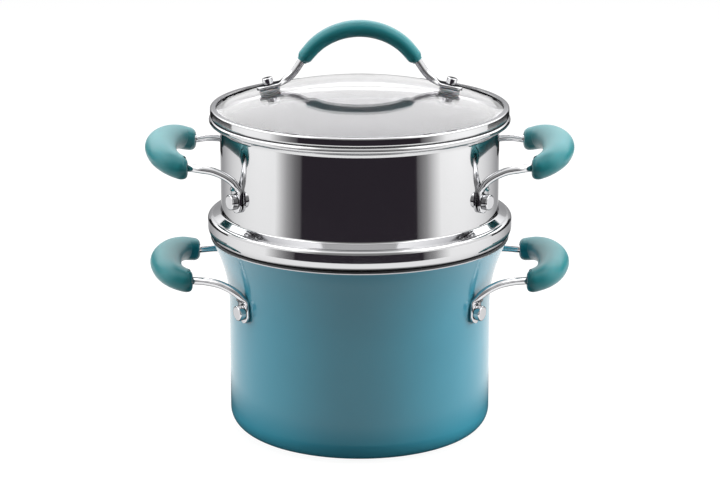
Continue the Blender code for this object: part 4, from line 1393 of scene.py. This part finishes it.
# %% Rivets
RIVET_SHANK = 0.0025
RIVET_HEAD_RADIUS = 0.0050
RIVET_HEAD_HEIGHT = 0.0042
RIVET_HEAD_ROUND = 0.0009
RIVET_TAIL_RADIUS = 0.0046
RIVET_TAIL_HEIGHT = 0.0012


def rivet_outline(wall, thickness):
    """Outer head on the tab, shank through the wall and a flat tail inside."""
    foot = FIT + TAB_THICKNESS + FIT
    top = foot + RIVET_HEAD_HEIGHT
    tail = sqrt((wall - thickness) ** 2 - RIVET_TAIL_RADIUS ** 2) - wall - FIT
    return ([(0.0, top)]
            + arc((RIVET_HEAD_RADIUS - RIVET_HEAD_ROUND, top - RIVET_HEAD_ROUND),
                  RIVET_HEAD_ROUND, 90.0, 0.0, 6)
            + [(RIVET_HEAD_RADIUS, foot), (RIVET_SHANK, foot), (RIVET_SHANK, tail),
               (RIVET_TAIL_RADIUS, tail)]
            + arc((RIVET_TAIL_RADIUS - RIVET_TAIL_HEIGHT, tail), RIVET_TAIL_HEIGHT,
                  0.0, -90.0, 6)
            + [(0.0, tail - RIVET_TAIL_HEIGHT)])


RIVET_BEARINGS = {"right_back": LEG_ANGLE, "right_front": -LEG_ANGLE,
                  "left_back": pi - LEG_ANGLE, "left_front": pi + LEG_ANGLE}
# Each wall: its radius, thickness, height and outward lean where the rivets go through.
RIVETED_WALLS = {"pot": (pot_outside(POT_RIVET_HEIGHT), POT_WALL, POT_RIVET_HEIGHT,
                         pot_lean(POT_RIVET_HEIGHT)),
                 "steamer": (STEAMER_RADIUS, STEAMER_SHEET, STEAMER_RIVET_HEIGHT, 0.0)}
for owner, (wall, thickness, height, lean_out) in RIVETED_WALLS.items():
    for name, bearing in RIVET_BEARINGS.items():
        place = (Matrix.Rotation(bearing, 4, "Z") @ Matrix.Translation((wall, 0.0, height))
                 @ Matrix.Rotation(pi / 2.0 + lean_out, 4, "Y"))
        rivet = spun(f"{owner}_pin_{name}", [rivet_outline(wall, thickness)], [rod_steel],
                     steps=SMALL_SPIN_STEPS, place=place)
        stands_for(rivet, f"{owner}_rivet_{name}", owner)

# %% [markdown]
# ## Lid handle
#
# The lid's handle is the same rod bent into an arch. Its feet stand on the slope of the
# dome, so a frame with its Z axis square to the glass is worked out first. The screws go
# through the glass, and their holes are drilled square to the dome, as they would be
# before the glass is tempered.

# %% Holes for the lid handle
LID_FOOT_RADIUS = 0.0583
LID_FOOT_OUT = 0.0080
LID_FOOT_IN = 0.0070
GASKET_RADIUS = 0.0068
GASKET_THICKNESS = 0.0020
GLASS_HOLE_RADIUS = 0.0040
GLASS_HOLE_SIDES = 48
DRILL_LENGTH = 6.0 * GLASS_THICKNESS


def foot_frame(sign):
    """On the glass under a foot of the lid handle, with Z square to the dome."""
    slope = asin(LID_FOOT_RADIUS / GLASS_SPHERE)
    height = LID_SEAT + GLASS_TOP - GLASS_SPHERE * (1.0 - cos(slope))
    return (Matrix.Translation((sign * LID_FOOT_RADIUS, 0.0, height))
            @ Matrix.Rotation(sign * slope, 4, "Y"))


hole_bm = bmesh.new()
for sign in (1.0, -1.0):
    bmesh.ops.create_cone(hole_bm, cap_ends=True, segments=GLASS_HOLE_SIDES,
                          radius1=GLASS_HOLE_RADIUS, radius2=GLASS_HOLE_RADIUS,
                          depth=DRILL_LENGTH, matrix=foot_frame(sign))
punched_out(glass, hole_bm)
stands_for(glass, "lid_glass", "lid")

# %% [markdown]
# ## Arch and its sleeve
#
# The arch is flat in the XZ plane, so only its right half is written down. The grip rides
# on the middle of the arch: its path is that part of the rod's own path.

# %% Arch and its sleeve
LID_KNEE_IN = 0.0147
LID_KNEE_RISE = 0.0054
LID_ARCH_RADIUS = 0.0435
LID_ARCH_RISE = 0.0351
LID_ARCH_ANGLE = radians(57.0)
LID_ARCH_SHARES = (1.0, 0.66, 0.33)
LID_GRIP_LENGTH = 0.0900
# Half the width and half the height in the grip's middle, and their share at its ends.
LID_GRIP_SIZES = (0.0064, 0.0055)
LID_GRIP_END = 0.88
LID_GRIP_STEPS = 80


def across_lid(way, near_start):
    """Width of the arch, which is the same all along."""
    return Vector((0.0, 1.0, 0.0))


foot = foot_frame(1.0)
rise = FIT + GASKET_THICKNESS + FIT + TAB_THICKNESS / 2.0
dome_top = LID_SEAT + GLASS_TOP
arch_top = dome_top + LID_ARCH_RISE
half = [foot @ Vector((LID_FOOT_OUT, 0.0, rise)),
        foot @ Vector((0.0, 0.0, rise)),
        foot @ Vector((-LID_FOOT_IN, 0.0, rise)),
        Vector((LID_FOOT_RADIUS - LID_KNEE_IN, 0.0, dome_top + LID_KNEE_RISE))]
half += [Vector((LID_ARCH_RADIUS * sin(LID_ARCH_ANGLE * share), 0.0,
                 arch_top - LID_ARCH_RADIUS * (1.0 - cos(LID_ARCH_ANGLE * share))))
         for share in LID_ARCH_SHARES]
arch_path = smooth_path([Vector((-p.x, 0.0, p.z)) for p in half]
                        + [Vector((0.0, 0.0, arch_top))] + half[::-1])
arch = swept("lid_arch", rod_stations(arch_path, LID_FOOT_OUT + LID_FOOT_IN, across_lid),
             ROD_SIDES, [rod_steel])
stands_for(arch, "lid_handle", "lid")

skip = (path_length(arch_path) - LID_GRIP_LENGTH) / 2.0
lid_grip_path = [point_along(arch_path, skip + LID_GRIP_LENGTH * i / LID_GRIP_STEPS)
                 for i in range(LID_GRIP_STEPS + 1)]
lid_sleeve = swept("lid_sleeve",
                   sleeve_stations(lid_grip_path, across_lid,
                                   [size * LID_GRIP_END for size in LID_GRIP_SIZES],
                                   LID_GRIP_SIZES),
                   GRIP_SIDES, [teal_silicone])
stands_for(lid_sleeve, "lid_grip", "lid")

# %% [markdown]
# ## Screws and gaskets
#
# A stack of small round pieces clamps each foot. On top are the screw, whose head sits on
# the tab, and a rubber gasket between tab and glass, with a sleeve through the hole.

# %% Screws and gaskets
SCREW_SHANK = 0.0022
SCREW_HEAD_RADIUS = 0.0034
SCREW_HEAD_HEIGHT = 0.0042
SCREW_HEAD_ROUND = 0.0008
SCREW_REACH = 0.0036
SLEEVE_WALL = 0.0012
SEAL_THICKNESS = 0.0014

head_foot = FIT + GASKET_THICKNESS + FIT + TAB_THICKNESS + FIT
head_top = head_foot + SCREW_HEAD_HEIGHT
shank_end = -GLASS_THICKNESS - FIT - SEAL_THICKNESS - FIT - SCREW_REACH
hole = SCREW_SHANK + FIT
screw_outline = ([(0.0, head_top)]
                 + arc((SCREW_HEAD_RADIUS - SCREW_HEAD_ROUND, head_top - SCREW_HEAD_ROUND),
                       SCREW_HEAD_ROUND, 90.0, 0.0, 6)
                 + [(SCREW_HEAD_RADIUS, head_foot), (SCREW_SHANK, head_foot),
                    (SCREW_SHANK, shank_end), (0.0, shank_end)])
gasket_top = FIT + GASKET_THICKNESS
gasket_round = GASKET_THICKNESS / 2.0
sleeve_outside = hole + SLEEVE_WALL
gasket_outline = ([(hole, gasket_top)]
                  + arc((GASKET_RADIUS - gasket_round, gasket_top - gasket_round),
                        gasket_round, 90.0, 0.0, 6)
                  + [(GASKET_RADIUS, FIT), (sleeve_outside, FIT),
                     (sleeve_outside, -GLASS_THICKNESS + FIT), (hole, -GLASS_THICKNESS + FIT),
                     (hole, gasket_top)])

# %% [markdown]
# ## Seals and nuts
#
# Under the glass a washer seals the hole, and a cap nut closes the stack. Each piece is
# one outline, spun once for either foot.

# %% Seals and nuts
NUT_RADIUS = 0.0055
NUT_HEIGHT = 0.0052
NUT_FLANGE = 0.0012
NUT_FLANGE_RADIUS = 0.0066

seal_top = -GLASS_THICKNESS - FIT
seal_outline = [(hole, seal_top), (NUT_FLANGE_RADIUS, seal_top),
                (NUT_FLANGE_RADIUS, seal_top - SEAL_THICKNESS),
                (hole, seal_top - SEAL_THICKNESS), (hole, seal_top)]
nut_top = seal_top - SEAL_THICKNESS - FIT
nut_foot = nut_top - NUT_HEIGHT
nut_outline = ([(0.0, shank_end - FIT), (hole, shank_end - FIT), (hole, nut_top),
                (NUT_FLANGE_RADIUS, nut_top), (NUT_FLANGE_RADIUS, nut_top - NUT_FLANGE),
                (NUT_RADIUS, nut_top - NUT_FLANGE)]
               + arc((NUT_RADIUS - NUT_HEIGHT / 2.0, nut_foot + NUT_HEIGHT / 2.0),
                     NUT_HEIGHT / 2.0, 0.0, -90.0, 8)
               + [(0.0, nut_foot)])
FASTENERS = {"screw": (screw_outline, rod_steel, "screw_steel"),
             "gasket": (gasket_outline, clear_silicone, "clear_silicone"),
             "seal": (seal_outline, clear_silicone, "clear_silicone"),
             "nut": (nut_outline, rod_steel, "screw_steel")}
for kind, (outline, material, slot) in FASTENERS.items():
    for side, sign in (("right", 1.0), ("left", -1.0)):
        small = spun(f"lid_foot_{kind}_{side}", [outline], [material],
                     steps=SMALL_SPIN_STEPS, place=foot_frame(sign))
        stands_for(small, f"lid_{kind}_{side}", "lid")
